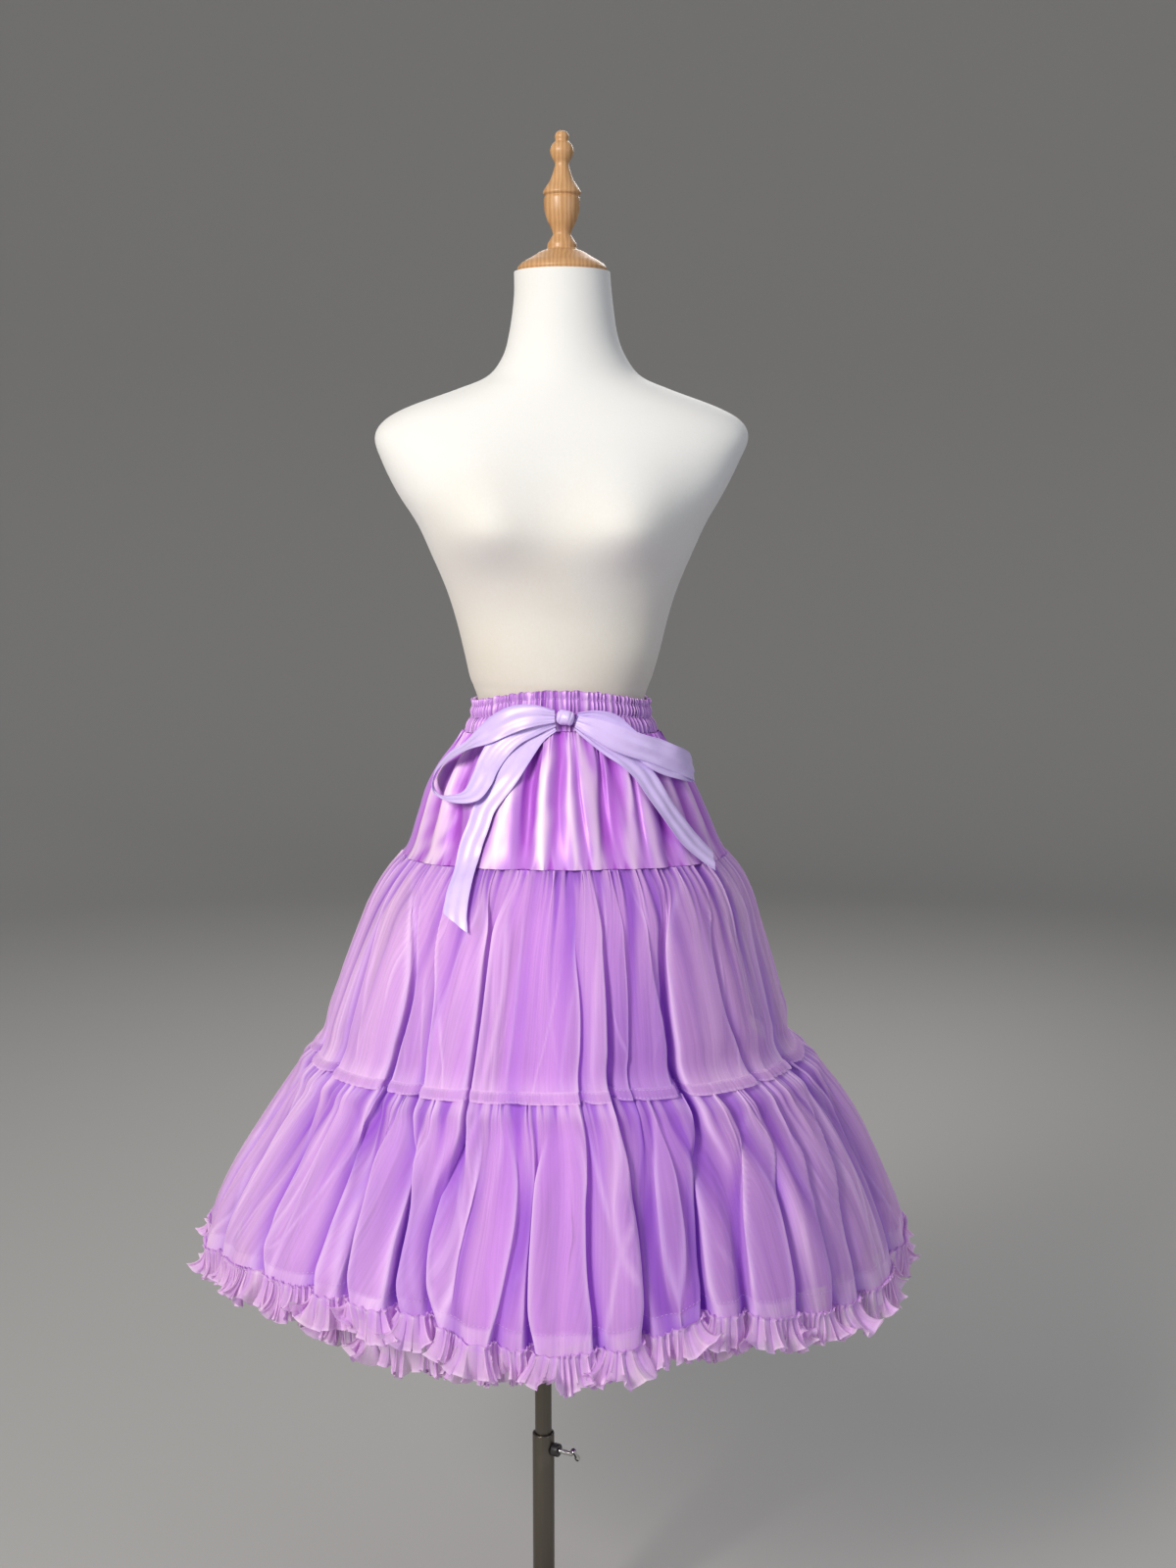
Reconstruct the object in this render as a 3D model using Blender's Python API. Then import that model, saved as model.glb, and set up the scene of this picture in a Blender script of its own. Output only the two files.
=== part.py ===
"""A gathered tulle petticoat skirt worn by a limbless dress form on a telescopic pole stand.

Units are metres, +Z is up and the front faces -Y. The origin is the middle of the base plate's
underside, on the pole's axis. Angles round the skirt are in degrees from the front, positive
towards +X, so 90 is the garment's side seam on +X.
"""

import math
from typing import NamedTuple

import bmesh
import bpy
import numpy as np
from mathutils import Matrix, Vector

# ---------------------------------------------------------------- driving sizes
FORM_X = 0.022  # the form sits this far to the +X side of the pole
GAP = 0.0004  # clearance between pieces that meet
CLOTH = 0.0014  # thickness of a cloth wall
RIBBON = 0.0012  # thickness of the ribbon
RIBBON_WIDTH = 0.027

BASE_RADIUS = 0.160
BASE_THICKNESS = 0.008
HUB_RADIUS = 0.026
HUB_HEIGHT = 0.024
LOWER_TUBE_RADIUS = 0.0125
LOWER_TUBE_BORE = 0.0101
LOWER_TUBE_TOP = 0.290
UPPER_TUBE_RADIUS = 0.0095
UPPER_TUBE_FOOT = 0.130
SOCKET_DEPTH = 0.070  # how far the pole runs up into the form
SOCKET_CLEARANCE = 0.0015
FLANGE_RADIUS = 0.042
FLANGE_THICKNESS = 0.006
TUBE_SIDES = 24

CLAMP_HEIGHT = 0.272
CLAMP_TURN = -28.0  # direction of the clamp screw, in degrees from +X about +Z
CLAMP_BOSS_RADIUS = 0.0075
CLAMP_BOSS_LENGTH = 0.008
STUD_RADIUS = 0.0028
STUD_LENGTH = 0.017
WING_LENGTH = 0.021
WING_RADIUS = 0.0032
WING_TILT = 36.0  # slope of the wing handle, in degrees from the vertical

NECK_TOP = 1.5875
FORM_FOOT = 0.848

BAND_RUCHES = 40
RUFFLE_WAVES = 66
BAND_RUCHE_DEPTH = 0.0028
RUFFLE_WAVE_DEPTH = 0.011
RUFFLE_GATHER_DEPTH = 0.0016
RUFFLE_FLARE = 0.014

WAIST_TOP = 1.136
WAIST_STITCH = 1.118
WAIST_LOW = 1.102
YOKE_LOW = 0.969
UPPER_TIER_LOW = 0.758
TAPE_LOW = 0.746
LOWER_TIER_LOW = 0.548
RUFFLE_LOW = 0.514
UNDER_LAYER_LOW = 0.512
UNDER_LAYER_INSET = 0.044
UNDER_LAYER_SEAM_INSET = 0.0095  # behind the gathers at the yoke's seam
UNDER_LAYER_SIDES = 20


class Level(NamedTuple):
    """One level of the skirt's outline, measured over the crests of its folds."""

    height: float
    half_width: float
    half_depth: float
    centre_x: float
    lift: float  # how much higher the front and back are than the sides


SKIRT_LEVELS = (
    Level(1.136, 0.0965, 0.0865, 0.022, 0.0170),
    Level(1.118, 0.0985, 0.0885, 0.022, 0.0115),
    Level(1.102, 0.1065, 0.0945, 0.022, 0.0090),
    Level(1.089, 0.1160, 0.1030, 0.022, 0.0088),
    Level(1.070, 0.1315, 0.1180, 0.022, 0.0086),
    Level(1.045, 0.1460, 0.1320, 0.022, 0.0084),
    Level(1.012, 0.1590, 0.1480, 0.024, 0.0084),
    Level(0.969, 0.1780, 0.1670, 0.026, 0.0090),
    Level(0.955, 0.1900, 0.1790, 0.026, 0.0095),
    Level(0.925, 0.2080, 0.1980, 0.024, 0.0100),
    Level(0.890, 0.2210, 0.2110, 0.021, 0.0110),
    Level(0.850, 0.2350, 0.2250, 0.019, 0.0120),
    Level(0.800, 0.2510, 0.2410, 0.017, 0.0130),
    Level(0.757, 0.2650, 0.2540, 0.016, 0.0140),
    Level(0.745, 0.2770, 0.2650, 0.018, 0.0120),
    Level(0.725, 0.2960, 0.2830, 0.021, 0.0090),
    Level(0.695, 0.3185, 0.3030, 0.022, 0.0060),
    Level(0.660, 0.3410, 0.3230, 0.021, 0.0030),
    Level(0.610, 0.3680, 0.3450, 0.017, 0.0000),
    Level(0.570, 0.3850, 0.3580, 0.015, 0.0000),
    Level(0.548, 0.3910, 0.3620, 0.015, 0.0000),
    Level(0.510, 0.3910, 0.3620, 0.015, 0.0000),
)


# How far the hem is lifted or dropped round the skirt: degrees from the front, metres.
HEM_SWING = (
    (-180, 0.004),
    (-150, -0.004),
    (-120, 0.003),
    (-90, 0.000),
    (-72, 0.006),
    (-54, 0.024),
    (-38, 0.028),
    (-18, 0.022),
    (-6, 0.002),
    (8, 0.000),
    (16, 0.004),
    (25, 0.018),
    (36, 0.006),
    (48, -0.008),
    (64, -0.012),
    (90, 0.004),
    (118, -0.003),
    (150, 0.005),
    (180, 0.004),
)
# The same for the under layer, which hangs lower than the outer one at the front.
UNDER_LAYER_SWING = (
    (-180, 0.000),
    (-60, 0.000),
    (-36, -0.004),
    (-22, -0.014),
    (-8, -0.014),
    (6, -0.004),
    (40, 0.000),
    (180, 0.000),
)
HEM_SWING_TOP = 0.700  # the hem's lifts and drops die out at this height


class Fold(NamedTuple):
    """A valley between two lobes of cloth: where it starts and ends, in degrees, and its size."""

    top: float
    low: float
    depth: float
    spread: float  # half width of the valley, in degrees


YOKE_FOLDS = (
    Fold(-80, -77, 0.006, 3.6),
    Fold(-64, -60, 0.007, 3.6),
    Fold(-50, -45, 0.010, 3.4),
    Fold(-37, -31, 0.006, 3.0),
    Fold(-17, -17, 0.011, 3.2),
    Fold(-5, -5, 0.006, 2.6),
    Fold(6, 6, 0.008, 2.6),
    Fold(17, 17, 0.010, 2.8),
    Fold(27, 26, 0.006, 2.6),
    Fold(38, 36, 0.009, 3.0),
    Fold(50, 47, 0.008, 3.0),
    Fold(63, 60, 0.006, 3.4),
    Fold(79, 76, 0.006, 3.6),
)

UPPER_TIER_FOLDS = (
    Fold(-82, -82, 0.014, 4.0),
    Fold(-64, -62, 0.015, 4.0),
    Fold(-52, -41, 0.022, 3.4),
    Fold(-43, -30, 0.010, 2.6),
    Fold(-29, -20, 0.031, 2.8),
    Fold(-15, -10, 0.006, 2.6),
    Fold(-4, 0, 0.010, 2.6),
    Fold(8, 11, 0.020, 2.6),
    Fold(15, 18, 0.008, 2.2),
    Fold(23, 25, 0.011, 2.2),
    Fold(34, 32, 0.033, 3.0),
    Fold(53, 52, 0.012, 3.4),
    Fold(75, 70, 0.014, 4.0),
)

# The upper tier's folds as they arrive at the tape.
SEAM_FOLDS = tuple(fold._replace(top=fold.low) for fold in UPPER_TIER_FOLDS)

LOWER_TIER_FOLDS = (
    Fold(-83, -83, 0.018, 3.2),
    Fold(-70, -68, 0.016, 3.0),
    Fold(-56, -55, 0.015, 2.8),
    Fold(-45, -42, 0.014, 2.4),
    Fold(-38, -34, 0.022, 2.4),
    Fold(-30, -26, 0.030, 2.4),
    Fold(-23, -20, 0.012, 1.9),
    Fold(-13, -14, 0.014, 2.0),
    Fold(-8, -8, 0.010, 1.9),
    Fold(-3, -2, 0.021, 1.9),
    Fold(5, 4, 0.017, 1.9),
    Fold(10, 12, 0.029, 2.2),
    Fold(17, 18, 0.011, 1.8),
    Fold(30, 26, 0.036, 2.4),
    Fold(38, 34, 0.011, 2.2),
    Fold(45, 42, 0.015, 2.2),
    Fold(53, 48, 0.024, 2.4),
    Fold(64, 58, 0.014, 2.8),
    Fold(78, 73, 0.017, 3.2),
)


class Section(NamedTuple):
    """A level of the dress form."""

    height: float
    half_width: float
    front: float
    back: float
    centre_x: float  # from the form's own axis
    centre_y: float
    squareness: float  # 2 is an ellipse, more is squarer


TORSO_SECTIONS = (
    Section(1.5870, 0.0505, 0.050, 0.050, 0.002, -0.004, 2.0),
    Section(1.5600, 0.0520, 0.051, 0.052, 0.003, -0.001, 2.0),
    Section(1.5240, 0.0575, 0.054, 0.057, 0.003, 0.004, 2.0),
    Section(1.5000, 0.0660, 0.058, 0.064, 0.004, 0.007, 2.0),
    Section(1.4800, 0.0825, 0.062, 0.072, 0.004, 0.008, 2.0),
    Section(1.4660, 0.1155, 0.065, 0.078, 0.003, 0.007, 2.0),
    Section(1.4480, 0.1650, 0.070, 0.081, 0.002, 0.006, 2.1),
    Section(1.4330, 0.1910, 0.075, 0.083, 0.002, 0.005, 2.2),
    Section(1.4150, 0.1990, 0.081, 0.086, 0.001, 0.004, 2.4),
    Section(1.3900, 0.1900, 0.090, 0.088, 0.000, 0.002, 2.5),
    Section(1.3580, 0.1740, 0.097, 0.089, 0.000, 0.000, 2.5),
    Section(1.3250, 0.1540, 0.101, 0.088, 0.001, 0.000, 2.4),
    Section(1.2930, 0.1395, 0.100, 0.085, 0.001, 0.000, 2.3),
    Section(1.2570, 0.1245, 0.094, 0.082, 0.001, 0.000, 2.2),
    Section(1.2250, 0.1145, 0.088, 0.080, 0.001, 0.000, 2.1),
    Section(1.1900, 0.1060, 0.084, 0.081, 0.001, 0.000, 2.1),
    Section(1.1620, 0.1005, 0.081, 0.078, 0.000, 0.000, 2.0),
    Section(1.1500, 0.0945, 0.078, 0.076, 0.000, 0.000, 2.0),
    Section(1.1340, 0.0900, 0.078, 0.077, 0.000, 0.000, 2.0),
    Section(1.1080, 0.0930, 0.081, 0.081, 0.000, 0.000, 2.0),
    Section(1.0700, 0.1120, 0.092, 0.096, 0.000, 0.001, 2.1),
    Section(1.0200, 0.1310, 0.101, 0.110, 0.000, 0.003, 2.2),
    Section(0.9650, 0.1460, 0.108, 0.120, 0.000, 0.004, 2.2),
    Section(0.9200, 0.1500, 0.109, 0.121, 0.000, 0.004, 2.2),
    Section(0.8800, 0.1460, 0.104, 0.115, 0.000, 0.004, 2.2),
    Section(0.8580, 0.1380, 0.098, 0.108, 0.000, 0.004, 2.2),
    Section(FORM_FOOT, 0.1290, 0.091, 0.101, 0.000, 0.004, 2.2),
)
BUST_HEIGHT = 1.322
BUST_OUT = 0.080  # half the distance between the two crowns
BUST_RISE = 0.033
BUST_SIDE_SPREAD = 0.052
BUST_UP_SPREAD = 0.058
BUST_DOWN_SPREAD = 0.040
BUST_BRIDGE = 0.016  # the cover is stretched across between the two crowns
TORSO_COLUMNS = 32

# The turned finial: height above the neck, radius.
FINIAL_PROFILE = (
    (0.0000, 0.0460),
    (0.0035, 0.0470),
    (0.0085, 0.0425),
    (0.0145, 0.0325),
    (0.0205, 0.0225),
    (0.0230, 0.0162),
    (0.0285, 0.0152),
    (0.0350, 0.0112),
    (0.0385, 0.0096),
    (0.0440, 0.0112),
    (0.0520, 0.0152),
    (0.0620, 0.0183),
    (0.0740, 0.0189),
    (0.0770, 0.0176),
    (0.0795, 0.0198),
    (0.0830, 0.0190),
    (0.0930, 0.0125),
    (0.1030, 0.0088),
    (0.1100, 0.0073),
    (0.1160, 0.0104),
    (0.1225, 0.0124),
    (0.1290, 0.0104),
    (0.1325, 0.0070),
    (0.1375, 0.0076),
    (0.1415, 0.0054),
    (0.1430, 0.0022),
)
FINIAL_SIDES = 16

COLOURS = {
    "satin": ((0.60, 0.36, 0.80), 0.25, 0.0),
    "ribbon": ((0.68, 0.55, 0.87), 0.35, 0.0),
    "tulle": ((0.58, 0.32, 0.80), 0.80, 0.0),
    "jersey": ((0.86, 0.83, 0.77), 0.85, 0.0),
    "beech": ((0.66, 0.37, 0.18), 0.40, 0.0),
    "steel": ((0.30, 0.28, 0.27), 0.35, 0.9),
    "black_metal": ((0.03, 0.03, 0.03), 0.40, 0.5),
    "bright_metal": ((0.70, 0.68, 0.64), 0.20, 1.0),
}


# ---------------------------------------------------------------- small helpers
def material(name):
    """The named finish, made once."""
    made = bpy.data.materials.get(name)
    if made:
        return made
    colour, roughness, metallic = COLOURS[name]
    made = bpy.data.materials.new(name)
    made.use_nodes = True
    shader = made.node_tree.nodes["Principled BSDF"]
    shader.inputs["Base Color"].default_value = (*colour, 1.0)
    shader.inputs["Roughness"].default_value = roughness
    shader.inputs["Metallic"].default_value = metallic
    return made


def finish(mesh, name, finish_name, sharp_degrees=35.0):
    """Turns a bmesh into a named object with outward faces, smooth shading and its material."""
    bmesh.ops.recalc_face_normals(mesh, faces=mesh.faces)
    data = bpy.data.meshes.new(name)
    mesh.to_mesh(data)
    mesh.free()
    data.shade_smooth()
    data.set_sharp_from_angle(angle=math.radians(sharp_degrees))
    data.materials.append(material(finish_name))
    made = bpy.data.objects.new(name, data)
    bpy.context.scene.collection.objects.link(made)
    return made


def smooth_between(value, knots, heights):
    """A cubic curve through the knots, which rise or fall in one direction."""
    knots = np.asarray(knots, float)
    heights = np.asarray(heights, float)
    if knots[0] > knots[-1]:
        knots, heights = knots[::-1], heights[::-1]
    slopes = np.gradient(heights, knots)
    value = np.clip(value, knots[0], knots[-1])
    i = np.clip(np.searchsorted(knots, value) - 1, 0, len(knots) - 2)
    span = knots[i + 1] - knots[i]
    t = (value - knots[i]) / span
    return (
        (2 * t**3 - 3 * t**2 + 1) * heights[i]
        + (t**3 - 2 * t**2 + t) * span * slopes[i]
        + (3 * t**2 - 2 * t**3) * heights[i + 1]
        + (t**3 - t**2) * span * slopes[i + 1]
    )


def loft(name, rings, finish_name, sharp_degrees=35.0):
    """A closed solid through equal rings of points, with a flat face at each end."""
    mesh = bmesh.new()
    rows = [[mesh.verts.new(point) for point in ring] for ring in rings]
    count = len(rows[0])
    for upper, lower in zip(rows, rows[1:]):
        for i in range(count):
            j = (i + 1) % count
            mesh.faces.new((upper[i], upper[j], lower[j], lower[i]))
    mesh.faces.new(rows[0])
    mesh.faces.new(rows[-1][::-1])
    return finish(mesh, name, finish_name, sharp_degrees)


def circle(radius, height, sides, centre=(0.0, 0.0)):
    """A level ring of points."""
    turns = [2 * math.pi * i / sides for i in range(sides)]
    return [
        Vector((centre[0] + radius * math.cos(a), centre[1] + radius * math.sin(a), height))
        for a in turns
    ]


# ---------------------------------------------------------------- the skirt's shape
def all_round(folds):
    """The front's folds and, for the back, the same ones turned half way round."""
    back = [Fold(f.top + 180, f.low + 180, f.depth, f.spread) for f in folds]
    return [*folds, *back]


def valley_depth(angle, share, folds):
    """How far the folds draw the cloth in at an angle, share of the way down the tier."""
    depth = np.zeros_like(np.asarray(angle, float))
    for fold in all_round(folds):
        middle = fold.top + (fold.low - fold.top) * share
        away = (angle - middle + 180) % 360 - 180
        depth += fold.depth * np.exp(-((away / fold.spread) ** 2))
    return depth


def ease(share, start, end):
    """0 before start, 1 after end, smooth between."""
    t = np.clip((share - start) / (end - start), 0, 1)
    return t * t * (3 - 2 * t)


def yoke_drawn_in(angle, height):
    share = (WAIST_LOW - height) / (WAIST_LOW - YOKE_LOW)
    strength = 0.35 + 0.65 * ease(share, 0.0, 0.35) - 0.55 * ease(share, 0.55, 1.0)
    return strength * valley_depth(angle, share, YOKE_FOLDS)


def upper_tier_drawn_in(angle, height):
    share = np.clip((YOKE_LOW - height) / (YOKE_LOW - UPPER_TIER_LOW), 0, 1)
    strength = 0.12 + 0.88 * ease(share, 0.0, 0.85)
    return strength * valley_depth(angle, share, UPPER_TIER_FOLDS)


def lower_tier_drawn_in(angle, height):
    share = np.clip((TAPE_LOW - height) / (TAPE_LOW - LOWER_TIER_LOW), 0, 1)
    kept = (1 - 0.75 * ease(share, 0.0, 0.7)) * valley_depth(angle, 1.0, SEAM_FOLDS)
    return kept + ease(share, 0.0, 0.45) * valley_depth(angle, share, LOWER_TIER_FOLDS)


def skirt_points(angles, height, drawn_in, outward=0.0, hem_swing=HEM_SWING):
    """Points of the skirt's outer face at some angles, at one level of the outline."""
    heights = [level.height for level in SKIRT_LEVELS]
    half_width, half_depth, centre_x, lift = (
        smooth_between(height, heights, [level[column] for level in SKIRT_LEVELS])
        for column in (1, 2, 3, 4)
    )
    turn = np.radians(angles)
    inset = np.asarray(drawn_in, float) - outward
    swing = smooth_between(
        (np.asarray(angles, float) + 180) % 360 - 180,
        [angle for angle, _ in hem_swing],
        [rise for _, rise in hem_swing],
    )
    reach = np.clip((HEM_SWING_TOP - height) / (HEM_SWING_TOP - LOWER_TIER_LOW), 0, 1) ** 2
    return np.stack(
        [
            centre_x + (half_width - inset) * np.sin(turn),
            -(half_depth - inset) * np.cos(turn),
            height + lift * np.cos(turn) ** 2 + reach * swing,
        ],
        axis=-1,
    )


def fold_columns(folds, share, start, end):
    """Angles that catch each valley's middle and shoulders and the crest beside it."""
    valleys = sorted(
        (fold.top + (fold.low - fold.top) * share, fold.spread)
        for fold in all_round(folds)
    )
    lap = [(a + turn, s) for turn in (-360, 0, 360) for a, s in valleys]
    inside = [(a, s) for a, s in sorted(lap) if start < a < end]
    stops = [start, *[a for a, _ in inside], end]
    angles = [start]
    for i, (middle, spread) in enumerate(inside, start=1):
        before = min(1.1 * spread, 0.4 * (middle - stops[i - 1]))
        after = min(1.1 * spread, 0.4 * (stops[i + 1] - middle))
        crest = (middle + after + stops[i + 1] - before) / 2
        angles += [middle - before, middle, middle + after]
        if i < len(inside):
            angles.append(crest)
    return np.array([*angles, end])


def cloth_wall(name, outer, finish_name, closed, thickness=CLOTH):
    """A wall of cloth from rows of outer points; its inner points lie level behind them."""
    outer = np.asarray(outer, float)
    inner = outer.copy()
    for row, points in enumerate(outer):
        if closed:
            along = np.roll(points, -1, axis=0) - np.roll(points, 1, axis=0)
        else:
            along = np.gradient(points, axis=0)
        side = np.stack([-along[:, 1], along[:, 0]], axis=1)
        side /= np.linalg.norm(side, axis=1, keepdims=True)
        if not closed:  # the two ends stay square to the side seams
            side[[0, -1], 0] = np.sign(side[[0, -1], 0])
            side[[0, -1], 1] = 0.0
        inner[row, :, :2] += thickness * side
    mesh = bmesh.new()
    skins = [[[mesh.verts.new(p) for p in row] for row in skin] for skin in (outer, inner)]
    rows, columns = outer.shape[:2]
    steps = range(columns if closed else columns - 1)
    for skin in skins:
        for r in range(rows - 1):
            for c in steps:
                d = (c + 1) % columns
                mesh.faces.new((skin[r][c], skin[r][d], skin[r + 1][d], skin[r + 1][c]))
    for r in (0, rows - 1):
        for c in steps:
            d = (c + 1) % columns
            mesh.faces.new((skins[0][r][c], skins[0][r][d], skins[1][r][d], skins[1][r][c]))
    for c in () if closed else (0, columns - 1):
        for r in range(rows - 1):
            mesh.faces.new((skins[0][r][c], skins[0][r + 1][c], skins[1][r + 1][c], skins[1][r][c]))
    return finish(mesh, name, finish_name, 50.0)


def half_spans(height):
    """The front's and the back's range of angles, parted by a gap at the side seams."""
    heights = [level.height for level in SKIRT_LEVELS]
    radius = smooth_between(height, heights, [level.half_width for level in SKIRT_LEVELS])
    margin = math.degrees(GAP / radius)
    return {"front": (-90 + margin, 90 - margin), "back": (90 + margin, 270 - margin)}


# ---------------------------------------------------------------- cloth pieces
def make_waistband():
    """The elasticated casing: two ruched channels with a row of stitching between them."""
    count = BAND_RUCHES * 3
    angles = np.arange(count) * 360.0 / count
    wave = 0.5 - 0.5 * np.cos(np.radians(angles) * BAND_RUCHES)
    rows = []
    for height, puff, ruche in (
        (WAIST_TOP, 0.0000, 1.0),
        (WAIST_TOP - 0.009, 0.0016, 0.8),
        (WAIST_STITCH, -0.0002, 0.5),
        (WAIST_STITCH - 0.009, 0.0020, 0.8),
        (WAIST_LOW + GAP, 0.0010, 0.7),
    ):
        rows.append(skirt_points(angles, height, ruche * BAND_RUCHE_DEPTH * wave, puff))
    cloth_wall("waistband", rows, "satin", closed=True)


def make_panels(base_name, heights, folds, drawn_in, finish_name, outward=0.0):
    """A front and a back panel, whose points follow the folds down the cloth."""
    top, low = heights[0], heights[-1]
    for side in ("front", "back"):
        rows = []
        for height in heights:
            start, end = half_spans(height)[side]
            angles = fold_columns(folds, (top - height) / (top - low), start, end)
            rows.append(skirt_points(angles, height, drawn_in(angles, height), outward))
        cloth_wall(f"{base_name}_{side}", rows, finish_name, closed=False)


def make_yoke():
    make_panels(
        "yoke",
        (WAIST_LOW - GAP, 1.074, 1.033, YOKE_LOW + GAP / 2),
        YOKE_FOLDS,
        yoke_drawn_in,
        "satin",
    )


def make_upper_tier():
    make_panels(
        "upper_tier",
        (YOKE_LOW - GAP / 2, 0.940, 0.895, 0.830, UPPER_TIER_LOW + GAP / 2),
        UPPER_TIER_FOLDS,
        upper_tier_drawn_in,
        "tulle",
        outward=0.001,
    )


def make_tape():
    make_panels(
        "seam_tape",
        (UPPER_TIER_LOW - GAP / 2, TAPE_LOW + GAP / 2),
        SEAM_FOLDS,
        lambda angles, height: valley_depth(angles, 1.0, SEAM_FOLDS),
        "tulle",
        outward=0.0015,
    )


def make_lower_tier():
    make_panels(
        "lower_tier",
        (TAPE_LOW - GAP / 2, 0.725, 0.680, 0.615, LOWER_TIER_LOW + GAP / 2),
        LOWER_TIER_FOLDS,
        lower_tier_drawn_in,
        "tulle",
    )


def make_ruffle():
    """The pleated hem ruffle, gathered into the hem and flaring below it."""
    per_wave = 4
    for side in ("front", "back"):
        start, end = half_spans(LOWER_TIER_LOW)[side]
        waves = RUFFLE_WAVES // 2
        share = np.linspace(0, 1, waves * per_wave + 1)
        angles = start + (end - start) * share
        wave = np.sin(2 * math.pi * waves * share)
        fold = lower_tier_drawn_in(angles, LOWER_TIER_LOW)
        rows = [
            skirt_points(
                angles, LOWER_TIER_LOW - 3 * GAP, fold + RUFFLE_GATHER_DEPTH * wave
            ),
            skirt_points(
                angles, RUFFLE_LOW, fold * 0.9 + RUFFLE_WAVE_DEPTH / 2 * wave, RUFFLE_FLARE
            ),
        ]
        cloth_wall(f"hem_ruffle_{side}", rows, "tulle", closed=False)


def make_under_layer():
    """The second layer of tulle, sewn in behind the yoke, which shows just below the hem."""
    for side in ("front", "back"):
        start, end = half_spans(UNDER_LAYER_LOW)[side]
        angles = np.linspace(start, end, UNDER_LAYER_SIDES + 1)
        rows = [skirt_points(angles, YOKE_LOW, UNDER_LAYER_SEAM_INSET)]
        for height in (0.925, 0.745, 0.660, UNDER_LAYER_LOW):
            rows.append(
                skirt_points(angles, height, UNDER_LAYER_INSET, 0.0, UNDER_LAYER_SWING)
            )
        cloth_wall(f"under_layer_{side}", rows, "tulle", closed=False)


# ---------------------------------------------------------------- the bow
class Station(NamedTuple):
    """A place along a ribbon, in front of the skirt, and how its width lies there.

    out is how far it stands off the crests of the folds. slope is the angle of the
    ribbon's width above +X as seen from the front, and turn is how far the width swings
    back from that plane, towards +Y.
    """

    angle: float
    height: float
    out: float
    width: float
    slope: float
    turn: float


class Lying(NamedTuple):
    """A place along a ribbon that lies flat along the skirt."""

    angle: float
    height: float
    out: float
    width: float


def place_of(station):
    """The middle of a ribbon at a station."""
    return Vector(skirt_points(station.angle, station.height, 0.0, station.out))


def outward_at(station):
    """The direction that faces squarely out of the skirt at a station."""
    around = place_of(station._replace(angle=station.angle + 1)) - place_of(station)
    upward = place_of(station._replace(height=station.height + 0.004)) - place_of(station)
    return around.cross(upward).normalized()


def ahead_at(stations, i):
    """The direction of a ribbon's run at its i-th station."""
    last = len(stations) - 1
    return (
        place_of(stations[min(i + 1, last)]) - place_of(stations[max(i - 1, 0)])
    ).normalized()


def across_at(stations, i):
    """The direction of a ribbon's width at its i-th station."""
    station = stations[i]
    if isinstance(station, Lying):
        return outward_at(station).cross(ahead_at(stations, i)).normalized()
    slope, turn = math.radians(station.slope), math.radians(station.turn)
    return Vector(
        (math.cos(slope) * math.cos(turn), math.sin(turn), math.sin(slope) * math.cos(turn))
    )


def ribbon(name, stations, trim=0.0):
    """A flat strip through its stations. trim cuts the last end on the slant."""
    rings = []
    end = place_of(stations[-1])
    for i, station in enumerate(stations):
        across, ahead = across_at(stations, i), ahead_at(stations, i)
        ahead = (ahead - across * ahead.dot(across)).normalized()
        face = across.cross(ahead) * (RIBBON / 2)
        half = across * (station.width / 2)
        centre = place_of(station)
        near_end = max(0.0, 1.0 - (centre - end).length / (1.5 * abs(trim))) if trim else 0.0
        slant = ahead * (trim / 2 * near_end)
        rings.append(
            [
                centre - half - slant - face,
                centre + half + slant - face,
                centre + half + slant + face,
                centre - half - slant + face,
            ]
        )
    return loft(name, rings, "ribbon")


def between(stations, steps):
    """More stations on a smooth curve through the given ones."""
    table = np.array(stations, float)
    knots = np.arange(len(table))
    at = np.linspace(0, len(table) - 1, (len(table) - 1) * steps + 1)
    columns = [smooth_between(at, knots, table[:, c]) for c in range(table.shape[1])]
    return [type(stations[0])(*values) for values in np.stack(columns, axis=1)]


W = RIBBON_WIDTH
LEFT_LOOP = (
    Station(-2.6, 1.1171, 0.0140, 0.013, 92, 0),
    Station(-12.4, 1.1184, 0.0190, 0.022, 94, 4),
    Station(-21.8, 1.1167, 0.0220, W, 106, 10),
    Station(-30.5, 1.1105, 0.0220, W, 122, 22),
    Station(-39.5, 1.1001, 0.0190, W, 134, 50),
    Station(-48.3, 1.0898, 0.0170, W, 140, 74),
    Station(-58.5, 1.0779, 0.0130, W, 145, 84),
    Station(-64.4, 1.0634, 0.0100, W, 150, 86),
    Station(-60.8, 1.0494, 0.0105, W, 155, 86),
    Station(-53.0, 1.0408, 0.0115, W, 158, 82),
    Station(-44.0, 1.0386, 0.0125, W, 160, 70),
    Station(-35.5, 1.0426, 0.0120, W, 158, 50),
    Station(-32.6, 1.0579, 0.0105, W, 154, 36),
    Station(-32.2, 1.0723, 0.0095, W, 152, 32),
    Station(-30.0, 1.0873, 0.0110, W, 146, 28),
    Station(-23.6, 1.1006, 0.0125, 0.024, 132, 18),
    Station(-13.1, 1.1082, 0.0108, 0.018, 116, 8),
    Station(-2.7, 1.1126, 0.0088, 0.012, 104, 0),
)
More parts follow.
